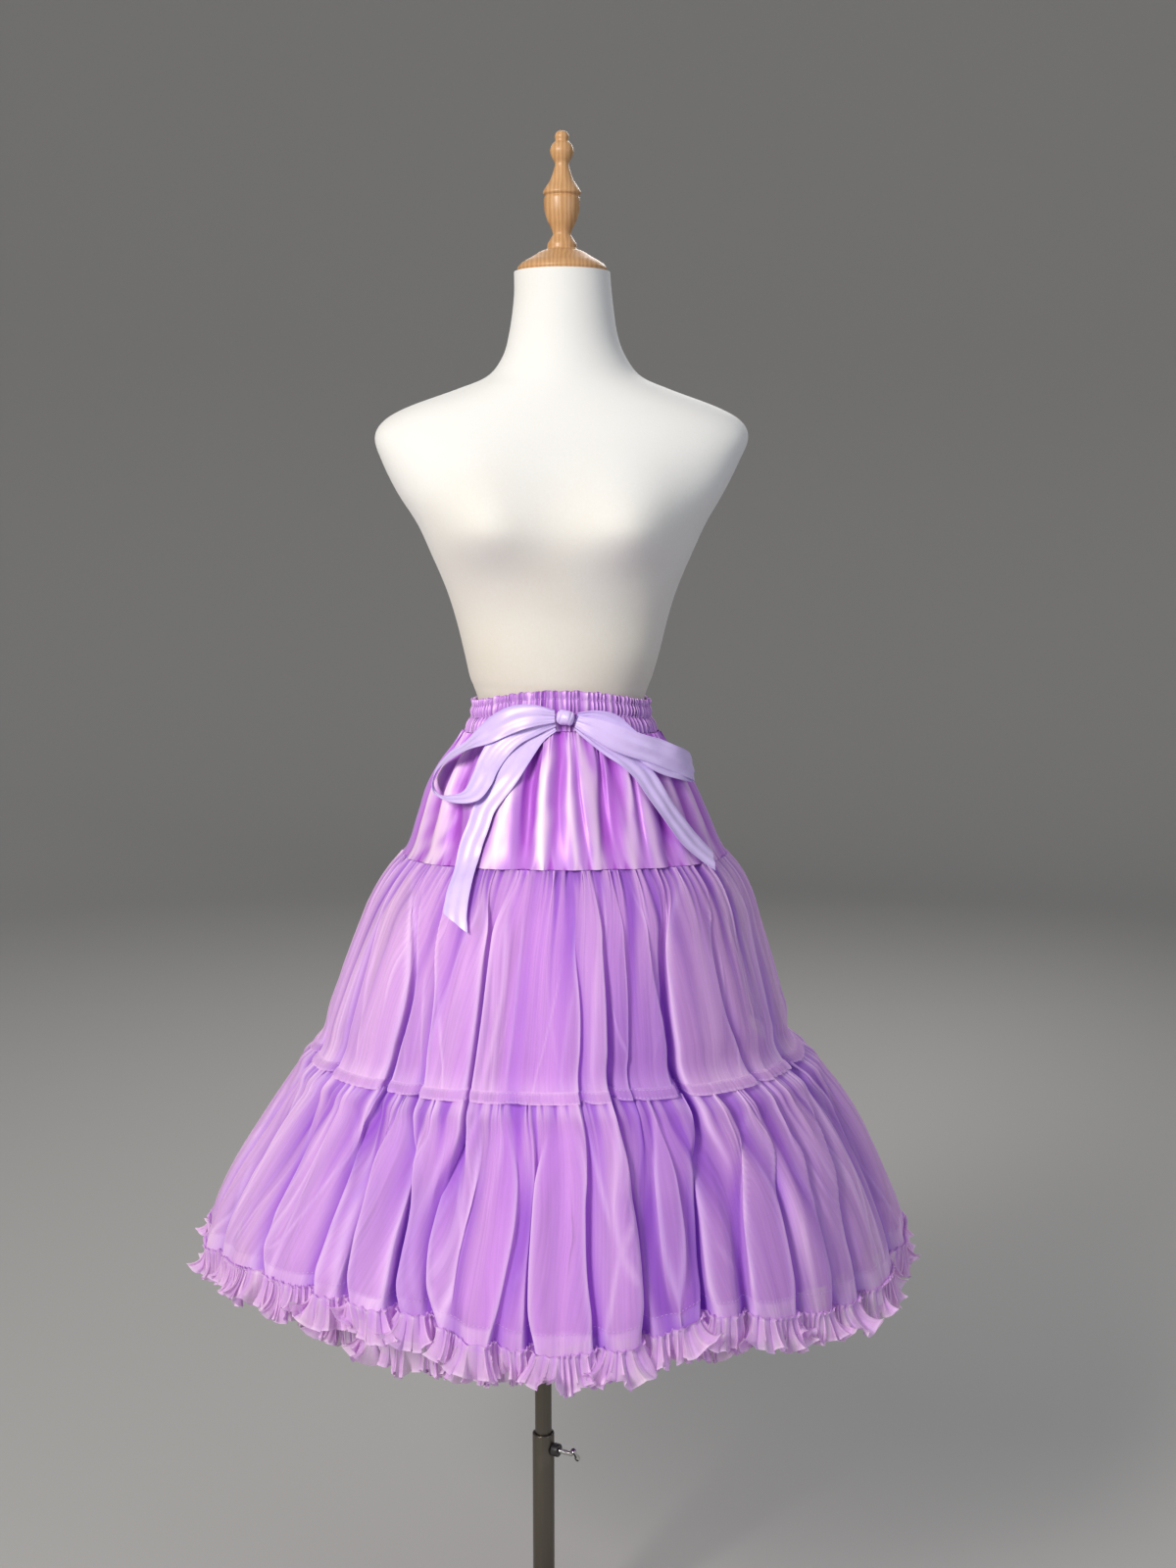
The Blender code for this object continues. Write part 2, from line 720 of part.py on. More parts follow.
RIGHT_LOOP = (
    Station(8.8, 1.1130, 0.0150, 0.013, 68, 4),
    Station(18.0, 1.1076, 0.0205, 0.022, 64, 5),
    Station(26.7, 1.0993, 0.0235, W, 62, 5),
    Station(35.5, 1.0918, 0.0240, W, 64, 5),
    Station(45.1, 1.0860, 0.0235, W, 65, 5),
    Station(53.0, 1.0792, 0.0225, W, 68, 6),
    Station(61.5, 1.0727, 0.0200, W, 78, 12),
    Station(68.5, 1.0671, 0.0165, W, 90, 22),
    Station(72.5, 1.0637, 0.0125, W, 98, 30),
    Station(68.5, 1.0631, 0.0095, W, 102, 35),
    Station(60.0, 1.0664, 0.0098, W, 98, 36),
    Station(51.0, 1.0725, 0.0104, W, 92, 37),
    Station(43.7, 1.0805, 0.0112, W, 88, 36),
    Station(38.0, 1.0940, 0.0115, W, 80, 30),
    Station(29.4, 1.1086, 0.0112, 0.025, 72, 18),
    Station(19.2, 1.1153, 0.0095, 0.018, 68, 9),
    Station(9.0, 1.1153, 0.0080, 0.012, 68, 4),
)
LEFT_TAIL = (
    Lying(-3.0, 1.1073, 0.0046, 0.010),
    Lying(-11.3, 1.1003, 0.0034, 0.018),
    Lying(-16.8, 1.0874, 0.0026, 0.024),
    Lying(-21.2, 1.0670, 0.0030, W),
    Lying(-26.7, 1.0452, 0.0034, W),
    Lying(-30.4, 1.0279, 0.0036, W),
    Lying(-32.1, 1.0094, 0.0036, W),
    Lying(-33.9, 0.9926, 0.0036, W),
    Lying(-34.1, 0.9751, 0.0040, W),
    Lying(-32.4, 0.9523, 0.0060, W),
    Lying(-30.8, 0.9314, 0.0055, W),
    Lying(-29.5, 0.9186, 0.0050, W),
)
RIGHT_TAIL = (
    Lying(9.3, 1.1084, 0.0042, 0.010),
    Lying(20.5, 1.0948, 0.0030, 0.018),
    Lying(33.0, 1.0765, 0.0028, W),
    Lying(38.5, 1.0622, 0.0034, W),
    Lying(41.8, 1.0428, 0.0040, W),
    Lying(45.6, 1.0219, 0.0044, W),
    Lying(50.8, 0.9992, 0.0044, W),
    Lying(55.5, 0.9823, 0.0070, W),
    Lying(58.5, 0.9723, 0.0095, W),
)
TAIL_TRIM = 0.026
KNOT_ANGLE = 3.0
KNOT_HEIGHT = 1.1156
KNOT_OUT = 0.0110
KNOT_SIZE = (0.0090, 0.0085, 0.0085)  # half sizes across, through and up


def make_bow():
    """The satin ribbon bow at the front of the waistband: a knot, two loops and two tails."""
    ribbon("bow_loop_left", between(LEFT_LOOP, 2))
    ribbon("bow_loop_right", between(RIGHT_LOOP, 2))
    ribbon("bow_tail_left", between(LEFT_TAIL, 2), trim=TAIL_TRIM)
    ribbon("bow_tail_right", between(RIGHT_TAIL, 2), trim=-TAIL_TRIM / 3)
    mesh = bmesh.new()
    bmesh.ops.create_uvsphere(mesh, u_segments=12, v_segments=8, radius=1.0)
    place = Matrix.Translation(skirt_points(KNOT_ANGLE, KNOT_HEIGHT, 0.0, KNOT_OUT))
    lean = Matrix.Rotation(math.radians(10), 4, "Y")
    size = Matrix.Diagonal((*KNOT_SIZE, 1.0))
    bmesh.ops.transform(mesh, matrix=place @ lean @ size, verts=mesh.verts)
    finish(mesh, "bow_knot", "ribbon", 60.0)


# ---------------------------------------------------------------- the form and its stand
def bust_rise(x, height):
    """How far the chest stands forward of its section."""
    spread = BUST_UP_SPREAD if height > BUST_HEIGHT else BUST_DOWN_SPREAD
    level = math.exp(-(((height - BUST_HEIGHT) / spread) ** 2))
    crowns = sum(
        math.exp(-(((x - side * BUST_OUT) / BUST_SIDE_SPREAD) ** 2)) for side in (-1, 1)
    )
    bridge = math.exp(-((x / BUST_OUT) ** 2))
    return level * (BUST_RISE * crowns + BUST_BRIDGE * bridge)


def torso_ring(section, columns):
    """One level ring of the dress form, the bust included."""
    ring = []
    power = 2.0 / section.squareness
    for i in range(columns):
        turn = 2 * math.pi * i / columns
        across, ahead = math.sin(turn), math.cos(turn)
        x = section.centre_x + section.half_width * math.copysign(abs(across) ** power, across)
        reach = section.front if ahead > 0 else section.back
        y = -reach * math.copysign(abs(ahead) ** power, ahead)
        if ahead > 0:
            y -= bust_rise(x, section.height) * min(1.0, 2.5 * ahead)
        ring.append(Vector((FORM_X + x, section.centre_y + y, section.height)))
    return ring


def make_torso():
    """The padded, jersey-covered form, with a blind bore in its foot for the pole."""
    rings = [torso_ring(section, TORSO_COLUMNS) for section in TORSO_SECTIONS]
    torso = loft("torso", rings, "jersey", 40.0)
    bore = loft(
        "torso_bore",
        [
            circle(UPPER_TUBE_RADIUS + SOCKET_CLEARANCE, height, TUBE_SIDES)
            for height in (FORM_FOOT + SOCKET_DEPTH + GAP, FORM_FOOT - 0.01)
        ],
        "steel",
    )
    bore.hide_render = True
    bore.display_type = "WIRE"
    cut = torso.modifiers.new("pole_bore", "BOOLEAN")
    cut.object = bore
    cut.operation = "DIFFERENCE"


def make_finial():
    """The turned beech finial that closes the neck."""
    neck = TORSO_SECTIONS[0]
    centre = (FORM_X + neck.centre_x, neck.centre_y)
    rings = [
        circle(radius, NECK_TOP + height, FINIAL_SIDES, centre)
        for height, radius in reversed(FINIAL_PROFILE)
    ]
    loft("finial", rings, "beech", 50.0)


def tube(name, outer, inner, top, low, finish_name):
    """An upright tube on the pole's axis."""
    mesh = bmesh.new()
    walls = [
        [[mesh.verts.new(p) for p in circle(r, z, TUBE_SIDES)] for z in (top, low)]
        for r in (outer, inner)
    ]
    for i in range(TUBE_SIDES):
        j = (i + 1) % TUBE_SIDES
        for wall in walls:
            mesh.faces.new((wall[0][i], wall[0][j], wall[1][j], wall[1][i]))
        for end in (0, 1):
            mesh.faces.new((walls[0][end][i], walls[0][end][j], walls[1][end][j], walls[1][end][i]))
    return finish(mesh, name, finish_name)


def make_stand():
    """The base plate, its hub, the two poles and the flange under the form."""
    bevel = 0.002
    loft(
        "base_plate",
        [
            circle(BASE_RADIUS - bevel, BASE_THICKNESS, 48),
            circle(BASE_RADIUS, BASE_THICKNESS - bevel, 48),
            circle(BASE_RADIUS, 0.0, 48),
        ],
        "black_metal",
    )
    hub_foot = BASE_THICKNESS + GAP
    tube(
        "base_hub",
        HUB_RADIUS,
        LOWER_TUBE_RADIUS + GAP,
        hub_foot + HUB_HEIGHT,
        hub_foot,
        "black_metal",
    )
    tube("lower_tube", LOWER_TUBE_RADIUS, LOWER_TUBE_BORE, LOWER_TUBE_TOP, hub_foot, "steel")
    loft(
        "upper_tube",
        [
            circle(UPPER_TUBE_RADIUS, FORM_FOOT + SOCKET_DEPTH, TUBE_SIDES),
            circle(UPPER_TUBE_RADIUS, UPPER_TUBE_FOOT, TUBE_SIDES),
        ],
        "steel",
    )
    tube(
        "socket_flange",
        FLANGE_RADIUS,
        UPPER_TUBE_RADIUS + SOCKET_CLEARANCE,
        FORM_FOOT - GAP,
        FORM_FOOT - GAP - FLANGE_THICKNESS,
        "black_metal",
    )


def along_clamp(radius, start, end, sides):
    """Two rings round the clamp screw's axis, from start to end out from the pole."""
    turn = Matrix.Rotation(math.radians(CLAMP_TURN), 4, "Z")
    lay = Matrix.Rotation(math.radians(90), 4, "Y")
    place = Matrix.Translation((0, 0, CLAMP_HEIGHT)) @ turn @ lay
    return [[place @ p for p in circle(radius, out, sides)] for out in (end, start)]


def make_clamp():
    """The boss on the lower tube and the wing screw that grips the upper one."""
    boss_foot = LOWER_TUBE_RADIUS + GAP
    stud_foot = boss_foot + CLAMP_BOSS_LENGTH + GAP
    stud_end = stud_foot + STUD_LENGTH
    loft(
        "clamp_boss",
        along_clamp(CLAMP_BOSS_RADIUS, boss_foot, boss_foot + CLAMP_BOSS_LENGTH, 12),
        "black_metal",
    )
    loft("clamp_stud", along_clamp(STUD_RADIUS, stud_foot, stud_end, 10), "black_metal")
    turn = Matrix.Rotation(math.radians(CLAMP_TURN), 4, "Z")
    tilt = Matrix.Rotation(math.radians(WING_TILT), 4, "X")
    out = stud_end + GAP + WING_RADIUS
    place = Matrix.Translation((0, 0, CLAMP_HEIGHT)) @ turn @ Matrix.Translation((out, 0, 0)) @ tilt
    half = WING_LENGTH / 2
    wing = [
        [place @ p for p in circle(radius, height, 10)]
        for radius, height in (
            (WING_RADIUS * 0.6, half),
            (WING_RADIUS * 1.0, half * 0.86),
            (WING_RADIUS * 1.0, half * 0.55),
            (WING_RADIUS * 0.7, half * 0.30),
            (WING_RADIUS * 0.7, -half * 0.30),
            (WING_RADIUS * 1.0, -half * 0.55),
            (WING_RADIUS * 1.0, -half * 0.86),
            (WING_RADIUS * 0.6, -half),
        )
    ]
    loft("clamp_wing", wing, "bright_metal", 50.0)


def hang_on(name, place, members):
    """Parents pieces to an empty that stands on the joint they move about."""
    empty = bpy.data.objects.new(name, None)
    bpy.context.scene.collection.objects.link(empty)
    empty.matrix_world = place
    for member in members:
        member.parent = empty
        member.matrix_parent_inverse = place.inverted()


def join_moving_pieces():
    """The form turns on the pole, the pole slides in the lower tube, the clamp screw turns."""
    pieces = {piece.name: piece for piece in bpy.data.objects}
    standing = ("base_plate", "base_hub", "lower_tube", "clamp_boss")
    screw = ("clamp_stud", "clamp_wing")
    pole = ("upper_tube",)
    worn = [name for name in pieces if name not in (*standing, *screw, *pole)]
    turn = Matrix.Rotation(math.radians(CLAMP_TURN), 4, "Z")
    for name, place, members in (
        ("pole_slide", Matrix.Translation((0, 0, LOWER_TUBE_TOP)), pole),
        ("form_swivel", Matrix.Translation((0, 0, FORM_FOOT)), worn),
        ("clamp_turn", Matrix.Translation((0, 0, CLAMP_HEIGHT)) @ turn, screw),
    ):
        hang_on(name, place, [pieces[member] for member in members])


def main():
    for old in list(bpy.data.objects):
        bpy.data.objects.remove(old)
    make_stand()
    make_clamp()
    make_torso()
    make_finial()
    make_waistband()
    make_yoke()
    make_upper_tier()
    make_tape()
    make_lower_tier()
    make_ruffle()
    make_under_layer()
    make_bow()
    join_moving_pieces()


main()
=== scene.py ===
"""A tiered tulle petticoat skirt on a limbless dress form and pole stand.

Everything is in metres, with +Z up, the skirt's front and bow towards -Y and +X on the right of
somebody who looks at the front. Angles round the skirt are in degrees from the front, positive
towards +X. A share of a tier runs from 0 at its upper seam to 1 at its lower edge.
"""

import logging
import math
from collections.abc import Callable, Iterator
from contextlib import contextmanager
from dataclasses import dataclass
from enum import Enum

import bmesh
import bpy
import numpy as np
from mathutils import Matrix, Vector


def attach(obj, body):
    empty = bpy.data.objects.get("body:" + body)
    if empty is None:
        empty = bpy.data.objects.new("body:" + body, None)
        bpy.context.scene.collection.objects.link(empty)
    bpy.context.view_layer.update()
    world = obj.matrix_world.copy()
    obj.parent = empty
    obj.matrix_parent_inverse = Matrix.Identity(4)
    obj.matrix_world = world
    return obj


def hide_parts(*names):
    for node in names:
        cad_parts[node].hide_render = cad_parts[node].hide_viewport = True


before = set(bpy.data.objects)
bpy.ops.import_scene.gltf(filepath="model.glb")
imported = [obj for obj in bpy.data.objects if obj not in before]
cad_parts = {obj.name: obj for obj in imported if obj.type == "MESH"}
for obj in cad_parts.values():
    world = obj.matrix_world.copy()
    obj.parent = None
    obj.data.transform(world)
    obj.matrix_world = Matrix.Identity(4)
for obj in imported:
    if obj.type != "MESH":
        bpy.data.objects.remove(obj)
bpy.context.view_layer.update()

TURN = 2 * math.pi
Array = np.ndarray
Colour = tuple[float, float, float]
Marks = dict[str, Array]
Material = bpy.types.Material
Piece = bpy.types.Object
Table = tuple[tuple[float, ...], ...]
log = logging.getLogger("petticoat")


# ------------------------------------------------------------------ node trees
class Socket:
    """An output of a node, on which Python's operators add Math nodes."""

    def __init__(self, tree: "Tree", output: bpy.types.NodeSocket) -> None:
        """Keeps the output and the tree that it belongs to."""
        self.tree = tree
        self.output = output

    def maths(self, operation: str, *terms: "Socket | float", clamp: bool = False) -> "Socket":
        """Adds a Math node.

        Args:
            operation: the node's operation.
            terms: its values or links, in order.
            clamp: whether the result is kept between 0 and 1.

        Returns:
            The node's result.
        """
        settings = {"operation": operation, "use_clamp": clamp}
        return self.tree.node("ShaderNodeMath", settings, dict(enumerate(terms)))

    def __add__(self, other: "Socket | float") -> "Socket":
        """This plus the other."""
        return self.maths("ADD", self, other)

    def __radd__(self, other: float) -> "Socket":
        """The other plus this."""
        return self.maths("ADD", other, self)

    def __sub__(self, other: "Socket | float") -> "Socket":
        """This less the other."""
        return self.maths("SUBTRACT", self, other)

    def __rsub__(self, other: float) -> "Socket":
        """The other less this."""
        return self.maths("SUBTRACT", other, self)

    def __mul__(self, other: "Socket | float") -> "Socket":
        """This times the other."""
        return self.maths("MULTIPLY", self, other)

    def __rmul__(self, other: float) -> "Socket":
        """The other times this."""
        return self.maths("MULTIPLY", other, self)

    def __truediv__(self, other: "Socket | float") -> "Socket":
        """This over the other."""
        return self.maths("DIVIDE", self, other)

    def __mod__(self, other: "Socket | float") -> "Socket":
        """What is left of this after whole others."""
        return self.maths("MODULO", self, other)

    def clamped(self) -> "Socket":
        """This, kept between 0 and 1."""
        return self.maths("ADD", self, 0.0, clamp=True)

    def sine(self) -> "Socket":
        """The sine of this."""
        return self.maths("SINE", self)

    def cosine(self) -> "Socket":
        """The cosine of this."""
        return self.maths("COSINE", self)

    def wave(self, pitch: float) -> "Socket":
        """A sine wave along this, from -1 to 1."""
        return (self * (TURN / pitch)).sine()

    def size(self) -> "Socket":
        """This without its sign."""
        return self.maths("ABSOLUTE", self)

    def whole(self) -> "Socket":
        """This rounded down."""
        return self.maths("FLOOR", self)


class Tree:
    """A node tree that is built by calls."""

    def __init__(self, tree: bpy.types.NodeTree) -> None:
        """Keeps the tree."""
        self.tree = tree

    def node(
        self,
        kind: str,
        settings: dict | None = None,
        inputs: dict | None = None,
        output: int | str = 0,
    ) -> Socket:
        """Adds any node.

        Args:
            kind: the node's type.
            settings: its properties.
            inputs: values or links by socket name or number.
            output: the output that is handed back.

        Returns:
            The chosen output.
        """
        made = self.tree.nodes.new(kind)
        for key, value in (settings or {}).items():
            setattr(made, key, value)
        for key, value in (inputs or {}).items():
            socket = made.inputs[key]
            if isinstance(value, Socket):
                self.tree.links.new(value.output, socket)
            elif socket.type == "RGBA" and len(value) == 3:
                socket.default_value = (*value, 1.0)
            else:
                socket.default_value = value
        return Socket(self, made.outputs[output] if made.outputs else None)

    def part(self, vector: Socket, number: int) -> Socket:
        """One of a vector's three parts."""
        return self.node("ShaderNodeSeparateXYZ", None, {0: vector}, number)


class Surface(Tree):
    """One material's nodes."""

    def __init__(self, name: str) -> None:
        """Makes an empty material.

        Args:
            name: the material's name.
        """
        self.material = bpy.data.materials.new(name)
        self.material.use_nodes = True
        self.material.node_tree.nodes.clear()
        super().__init__(self.material.node_tree)

    def mix(self, share: Socket | float, first: Socket | Colour, second: Socket | Colour) -> Socket:
        """A colour between two colours.

        Args:
            share: 0 for the first, 1 for the second.
            first: a colour.
            second: another.

        Returns:
            The mixed colour.
        """
        return self.node("ShaderNodeMix", {"data_type": "RGBA"}, {0: share, 6: first, 7: second}, 2)

    def flat(self) -> Socket:
        """The place on the flat cloth, across and along, in metres."""
        return self.node("ShaderNodeUVMap", {"uv_map": "cloth"})

    def solid(self) -> Socket:
        """The place on the piece."""
        return self.node("ShaderNodeTexCoord", None, None, "Object")

    def mark(self, name: str) -> Socket:
        """A value that is kept on the mesh's points."""
        return self.node("ShaderNodeAttribute", {"attribute_name": name}, None, "Fac")

    def grain(self, place: Socket, scale: tuple[float, float, float], detail: float = 2.0) -> Socket:
        """Noise from 0 to 1.

        Args:
            place: where it is read.
            scale: how many grains there are in a metre, in each direction.
            detail: the noise's detail.

        Returns:
            The noise.
        """
        spread = self.node("ShaderNodeMapping", None, {"Vector": place, "Scale": scale})
        inputs = {"Vector": spread, "Scale": 1.0, "Detail": detail}
        return self.node("ShaderNodeTexNoise", None, inputs)

    def bump(self, height: Socket, depth: float, strength: float, **more: Socket) -> Socket:
        """A normal that follows a height.

        Args:
            height: from 0 to 1.
            depth: what 1 stands for, in metres.
            strength: how much of it is used.
            more: the Normal that it starts from, if that isn't the mesh's own.

        Returns:
            The normal.
        """
        inputs = {"Height": height, "Distance": depth, "Strength": strength, **more}
        return self.node("ShaderNodeBump", None, inputs)

    def hung(self, calm: float) -> Socket:
        """A normal that is calmer than the mesh's own, as net scatters light from every side.

        Args:
            calm: 0 for the mesh's own, 1 for that of the outline which the cloth hangs on.

        Returns:
            The normal.
        """
        own = self.node("ShaderNodeNewGeometry", None, None, "Normal")
        kept = self.node("ShaderNodeAttribute", {"attribute_name": "hang"}, None, "Vector")
        there = {"vector_type": "VECTOR", "convert_from": "OBJECT", "convert_to": "WORLD"}
        outline = self.node("ShaderNodeVectorTransform", there, {0: kept})
        both = self.node("ShaderNodeMix", {"data_type": "VECTOR"}, {0: calm, 4: own, 5: outline}, 1)
        return self.node("ShaderNodeVectorMath", {"operation": "NORMALIZE"}, {0: both})

    def principled(self, **inputs: object) -> Socket:
        """A Principled shader whose sockets are named with _ for a space."""
        named = {key.replace("_", " "): value for key, value in inputs.items()}
        return self.node("ShaderNodeBsdfPrincipled", None, named)

    def finish(self, shader: Socket) -> Material:
        """Joins a shader to the output and hands back the material."""
        self.node("ShaderNodeOutputMaterial", None, {"Surface": shader})
        return self.material


# ------------------------------------------------------------------ finishes
@dataclass(frozen=True)
class Tulle:
    """Sheer net, denser and paler where it is doubled and where light is painted on it, and deeper in colour
    inside its folds, from more layers there and from painted shade.
    """

    name: str
    colour: Colour
    deep: Colour
    edge: Colour
    cover: float
    dense_cover: float
    glow: float
    net_depth: float = 0.10
    calm: float = 0.60
    net_pitch: float = 0.0021
    sheen: Colour = (0.9, 0.6, 1.0)

    def make(self) -> Material:
        """Makes the material.

        Returns:
            The material.
        """
        s = Surface(self.name)
        flat = s.flat()
        across, along = s.part(flat, 0), s.part(flat, 1)
        net = ((across + along).wave(self.net_pitch) * (across - along).wave(self.net_pitch)).size()
        streaks = s.grain(flat, (120.0, 4.0, 1.0), 3.0)
        threads = s.grain(flat, (420.0, 7.0, 1.0))
        cloud = s.grain(s.solid(), (9.0, 9.0, 5.0))
        dense, deep = s.mark("dense"), s.mark("deep")
        cover = self.cover + (self.dense_cover - self.cover) * dense
        cover = cover + (streaks - 0.5) * 0.40 + (threads - 0.5) * 0.30 + deep * 0.22
        cover = cover + (0.5 - net) * self.net_depth
        # The dense mark pales the net where it is doubled, and also where light is painted on it in patches.
        # The deep mark is partly more layers and partly painted shade inside the folds.
        tint = s.mix((dense * 0.95).clamped(), self.colour, self.edge)
        tint = s.mix((deep * 0.92).clamped(), tint, self.deep)
        shade = s.mix(((cloud - 0.5) * 0.5 + (streaks - 0.5) * 0.8).clamped(), tint, self.deep)
        height = streaks + threads * 0.3 + net * 0.06
        crinkle = s.bump(height, 0.0012, 0.6, Normal=s.hung(self.calm))
        film = s.principled(
            Base_Color=shade,
            Roughness=0.85,
            Specular_IOR_Level=0.10,
            Normal=crinkle,
            Sheen_Weight=0.12,
            Sheen_Roughness=0.45,
            Sheen_Tint=self.sheen,
        )
        through = s.node("ShaderNodeBsdfTranslucent", None, {"Color": shade, "Normal": crinkle})
        cloth = s.node("ShaderNodeMixShader", None, {0: self.glow, 1: film, 2: through})
        if self.cover >= 1.0:
            return s.finish(cloth)
        clear = s.node("ShaderNodeBsdfTransparent")
        inputs = {0: cover.clamped(), 1: clear, 2: cloth}
        return s.finish(s.node("ShaderNodeMixShader", None, inputs))


@dataclass(frozen=True)
class Satin:
    """Glossy satin: a painted highlight makes it pale on its crests, and painted shade makes it saturated in
    its folds.
    """

    name: str
    crest: Colour
    middle: Colour
    deep: Colour
    roughness: float
    metal: float
    crinkle: float = 0.0006
    weave_pitch: float = 0.0006

    def make(self) -> Material:
        """Makes the material.

        Returns:
            The material.
        """
        s = Surface(self.name)
        flat = s.flat()
        deep, crest = s.mark("deep"), s.mark("crest")
        streaks = s.grain(flat, (70.0, 9.0, 1.0), 3.0)
        ripples = s.grain(flat, (260.0, 40.0, 1.0))
        weave = s.part(flat, 0).wave(self.weave_pitch) * 0.5 + 0.5
        # The deep mark paints shade in the folds, and the crest mark paints highlights on the crests.
        tint = s.mix((deep * 1.2 + (streaks - 0.5) * 0.5).clamped(), self.middle, self.deep)
        tint = s.mix((crest + (streaks - 0.5) * 0.5).clamped(), tint, self.crest)
        height = streaks + ripples * 0.35 + weave * 0.03
        return s.finish(
            s.principled(
                Base_Color=tint,
                Metallic=self.metal,
                Roughness=self.roughness + (ripples - 0.5) * 0.12,
                Normal=s.bump(height, self.crinkle, 0.6),
                Sheen_Weight=0.15,
                Sheen_Roughness=0.3,
            )
        )


@dataclass(frozen=True)
class Ribbon:
    """Narrow satin ribbon with woven selvedges."""

    name: str
    colour: Colour
    shade: Colour
    width: float
    rib_pitch: float = 0.0009

    def make(self) -> Material:
        """Makes the material.

        Returns:
            The material.
        """
        s = Surface(self.name)
        flat = s.flat()
        rim = (((s.part(flat, 0) / self.width - 0.5).size() - 0.44) * 30.0).clamped()
        ribs = s.part(flat, 1).wave(self.rib_pitch) * 0.5 + 0.5
        creases = s.grain(flat, (60.0, 60.0, 1.0), 3.0)
        tint = s.mix(((creases - 0.45) * 0.9).clamped(), self.colour, self.shade)
        tint = s.mix(rim * 0.35, tint, self.shade)
        height = creases * 0.8 + ribs * 0.04 + rim * 0.25
        return s.finish(
            s.principled(
                Base_Color=tint,
                Metallic=0.05,
                Roughness=0.40 + (creases - 0.5) * 0.15 + rim * 0.1,
                Normal=s.bump(height, 0.0006, 0.5),
                Sheen_Weight=0.2,
                Sheen_Roughness=0.4,
            )
        )


@dataclass(frozen=True)
class Jersey:
    """A fine off-white knit, drawn tight over foam, darker and warmer lower down."""

    name: str
    colour: Colour
    shade: Colour
    wale: float = 0.0014
    course: float = 0.0011
    tinted_below: float = 1.40

    def make(self) -> Material:
        """Makes the material.

        Returns:
            The material.
        """
        s = Surface(self.name)
        place = s.solid()
        up = s.part(place, 2)
        knit = s.part(place, 0).wave(self.wale) * up.wave(self.course) * 0.25 + 0.5
        slubs = s.grain(place, (420.0, 420.0, 300.0))
        cloud = s.grain(place, (7.0, 7.0, 5.0), 3.0)
        # darker and warmer lower down, in uneven patches
        second_tone = ((self.tinted_below - up) * 3.6).clamped() * 0.8
        second_tone = (second_tone + (cloud - 0.5) * 0.9 + (slubs - 0.5) * 0.35).clamped()
        return s.finish(
            s.principled(
                Base_Color=s.mix(second_tone, self.colour, self.shade),
                Roughness=0.78 + (slubs - 0.5) * 0.2,
                Normal=s.bump(knit + slubs * 0.8, 0.00035, 0.5),
                Sheen_Weight=0.25,
                Sheen_Roughness=0.5,
            )
        )


@dataclass(frozen=True)
class Beech:
    """Turned and varnished beech, its grain upright."""

    name: str
    pale: Colour
    dark: Colour
    fleck: Colour

    def make(self) -> Material:
        """Makes the material.

        Returns:
            The material.
        """
        s = Surface(self.name)
        place = s.solid()
        drawn = {"Vector": place, "Scale": (1.0, 0.45, 0.055)}
        rings = s.node(
            "ShaderNodeTexWave",
            {"wave_type": "BANDS", "bands_direction": "X"},
            {
                "Vector": s.node("ShaderNodeMapping", None, drawn),
                "Scale": 70.0,
                "Distortion": 5.5,
                "Detail": 3.0,
                "Detail Scale": 1.4,
            },
            "Fac",
        )
        fibres = s.grain(place, (900.0, 900.0, 30.0), 3.0)
        flecks = ((s.grain(place, (1300.0, 1300.0, 190.0), 1.0) - 0.66) * 9.0).clamped()
        tint = s.mix(rings * 0.75, self.pale, self.dark)
        tint = s.mix(((fibres - 0.5) * 0.9).clamped(), tint, self.dark)
        return s.finish(
            s.principled(
                Base_Color=s.mix(flecks * 0.55, tint, self.fleck),
                Roughness=0.47 + (fibres - 0.5) * 0.16,
                Normal=s.bump(fibres * 0.5 + rings * 0.2, 0.0002, 0.4),
                Coat_Weight=0.18,
                Coat_Roughness=0.30,
            )
        )


@dataclass(frozen=True)
class Metal:
    """Brushed, painted or plated metal with light wear."""

    name: str
    colour: Colour
    second_tone: Colour
    metal: float
    roughness: float
    brushed: tuple[float, float, float]
    wear: float = 0.40
    coat: float = 0.0

    def make(self) -> Material:
        """Makes the material.

        Returns:
            The material.
        """
        s = Surface(self.name)
        place = s.solid()
        lines = s.grain(place, self.brushed, 3.0)
        smears = s.grain(place, (16.0, 16.0, 9.0), 4.0)
        rubbed = ((smears - (1.0 - self.wear)) * 6.0).clamped()
        tint = s.mix(rubbed * 0.6, self.colour, self.second_tone)
        return s.finish(
            s.principled(
                Base_Color=s.mix(((lines - 0.5) * 0.5).clamped(), tint, self.second_tone),
                Metallic=self.metal,
                Roughness=self.roughness + (lines - 0.5) * 0.14 + (smears - 0.5) * 0.12,
                Normal=s.bump(lines, 0.00012, 0.35),
                Coat_Weight=self.coat,
                Coat_Roughness=0.25,
            )
        )


@dataclass(frozen=True)
class Thread:
    """Twisted sewing thread."""

    name: str
    colour: Colour

    def make(self) -> Material:
        """Makes the material.

        Returns:
            The material.
        """
        s = Surface(self.name)
        twist = s.grain(s.solid(), (2600.0, 2600.0, 2600.0), 1.0)
        dark = tuple(c * 0.6 for c in self.colour)
        tint = s.mix(((twist - 0.4) * 0.6).clamped(), self.colour, dark)
        return s.finish(s.principled(Base_Color=tint, Roughness=0.55, Sheen_Weight=0.2))


@dataclass(frozen=True)
class StudioFloor:
    """A plain, pale, matt sweep."""

    name: str
    colour: Colour

    def make(self) -> Material:
        """Makes the material.

        Returns:
            The material.
        """
        s = Surface(self.name)
        cloud = s.grain(s.solid(), (1.3, 1.3, 1.3))
        tint = s.mix((cloud - 0.3) * 0.25, self.colour, tuple(c * 0.93 for c in self.colour))
        return s.finish(s.principled(Base_Color=tint, Roughness=0.85, Specular_IOR_Level=0.2))


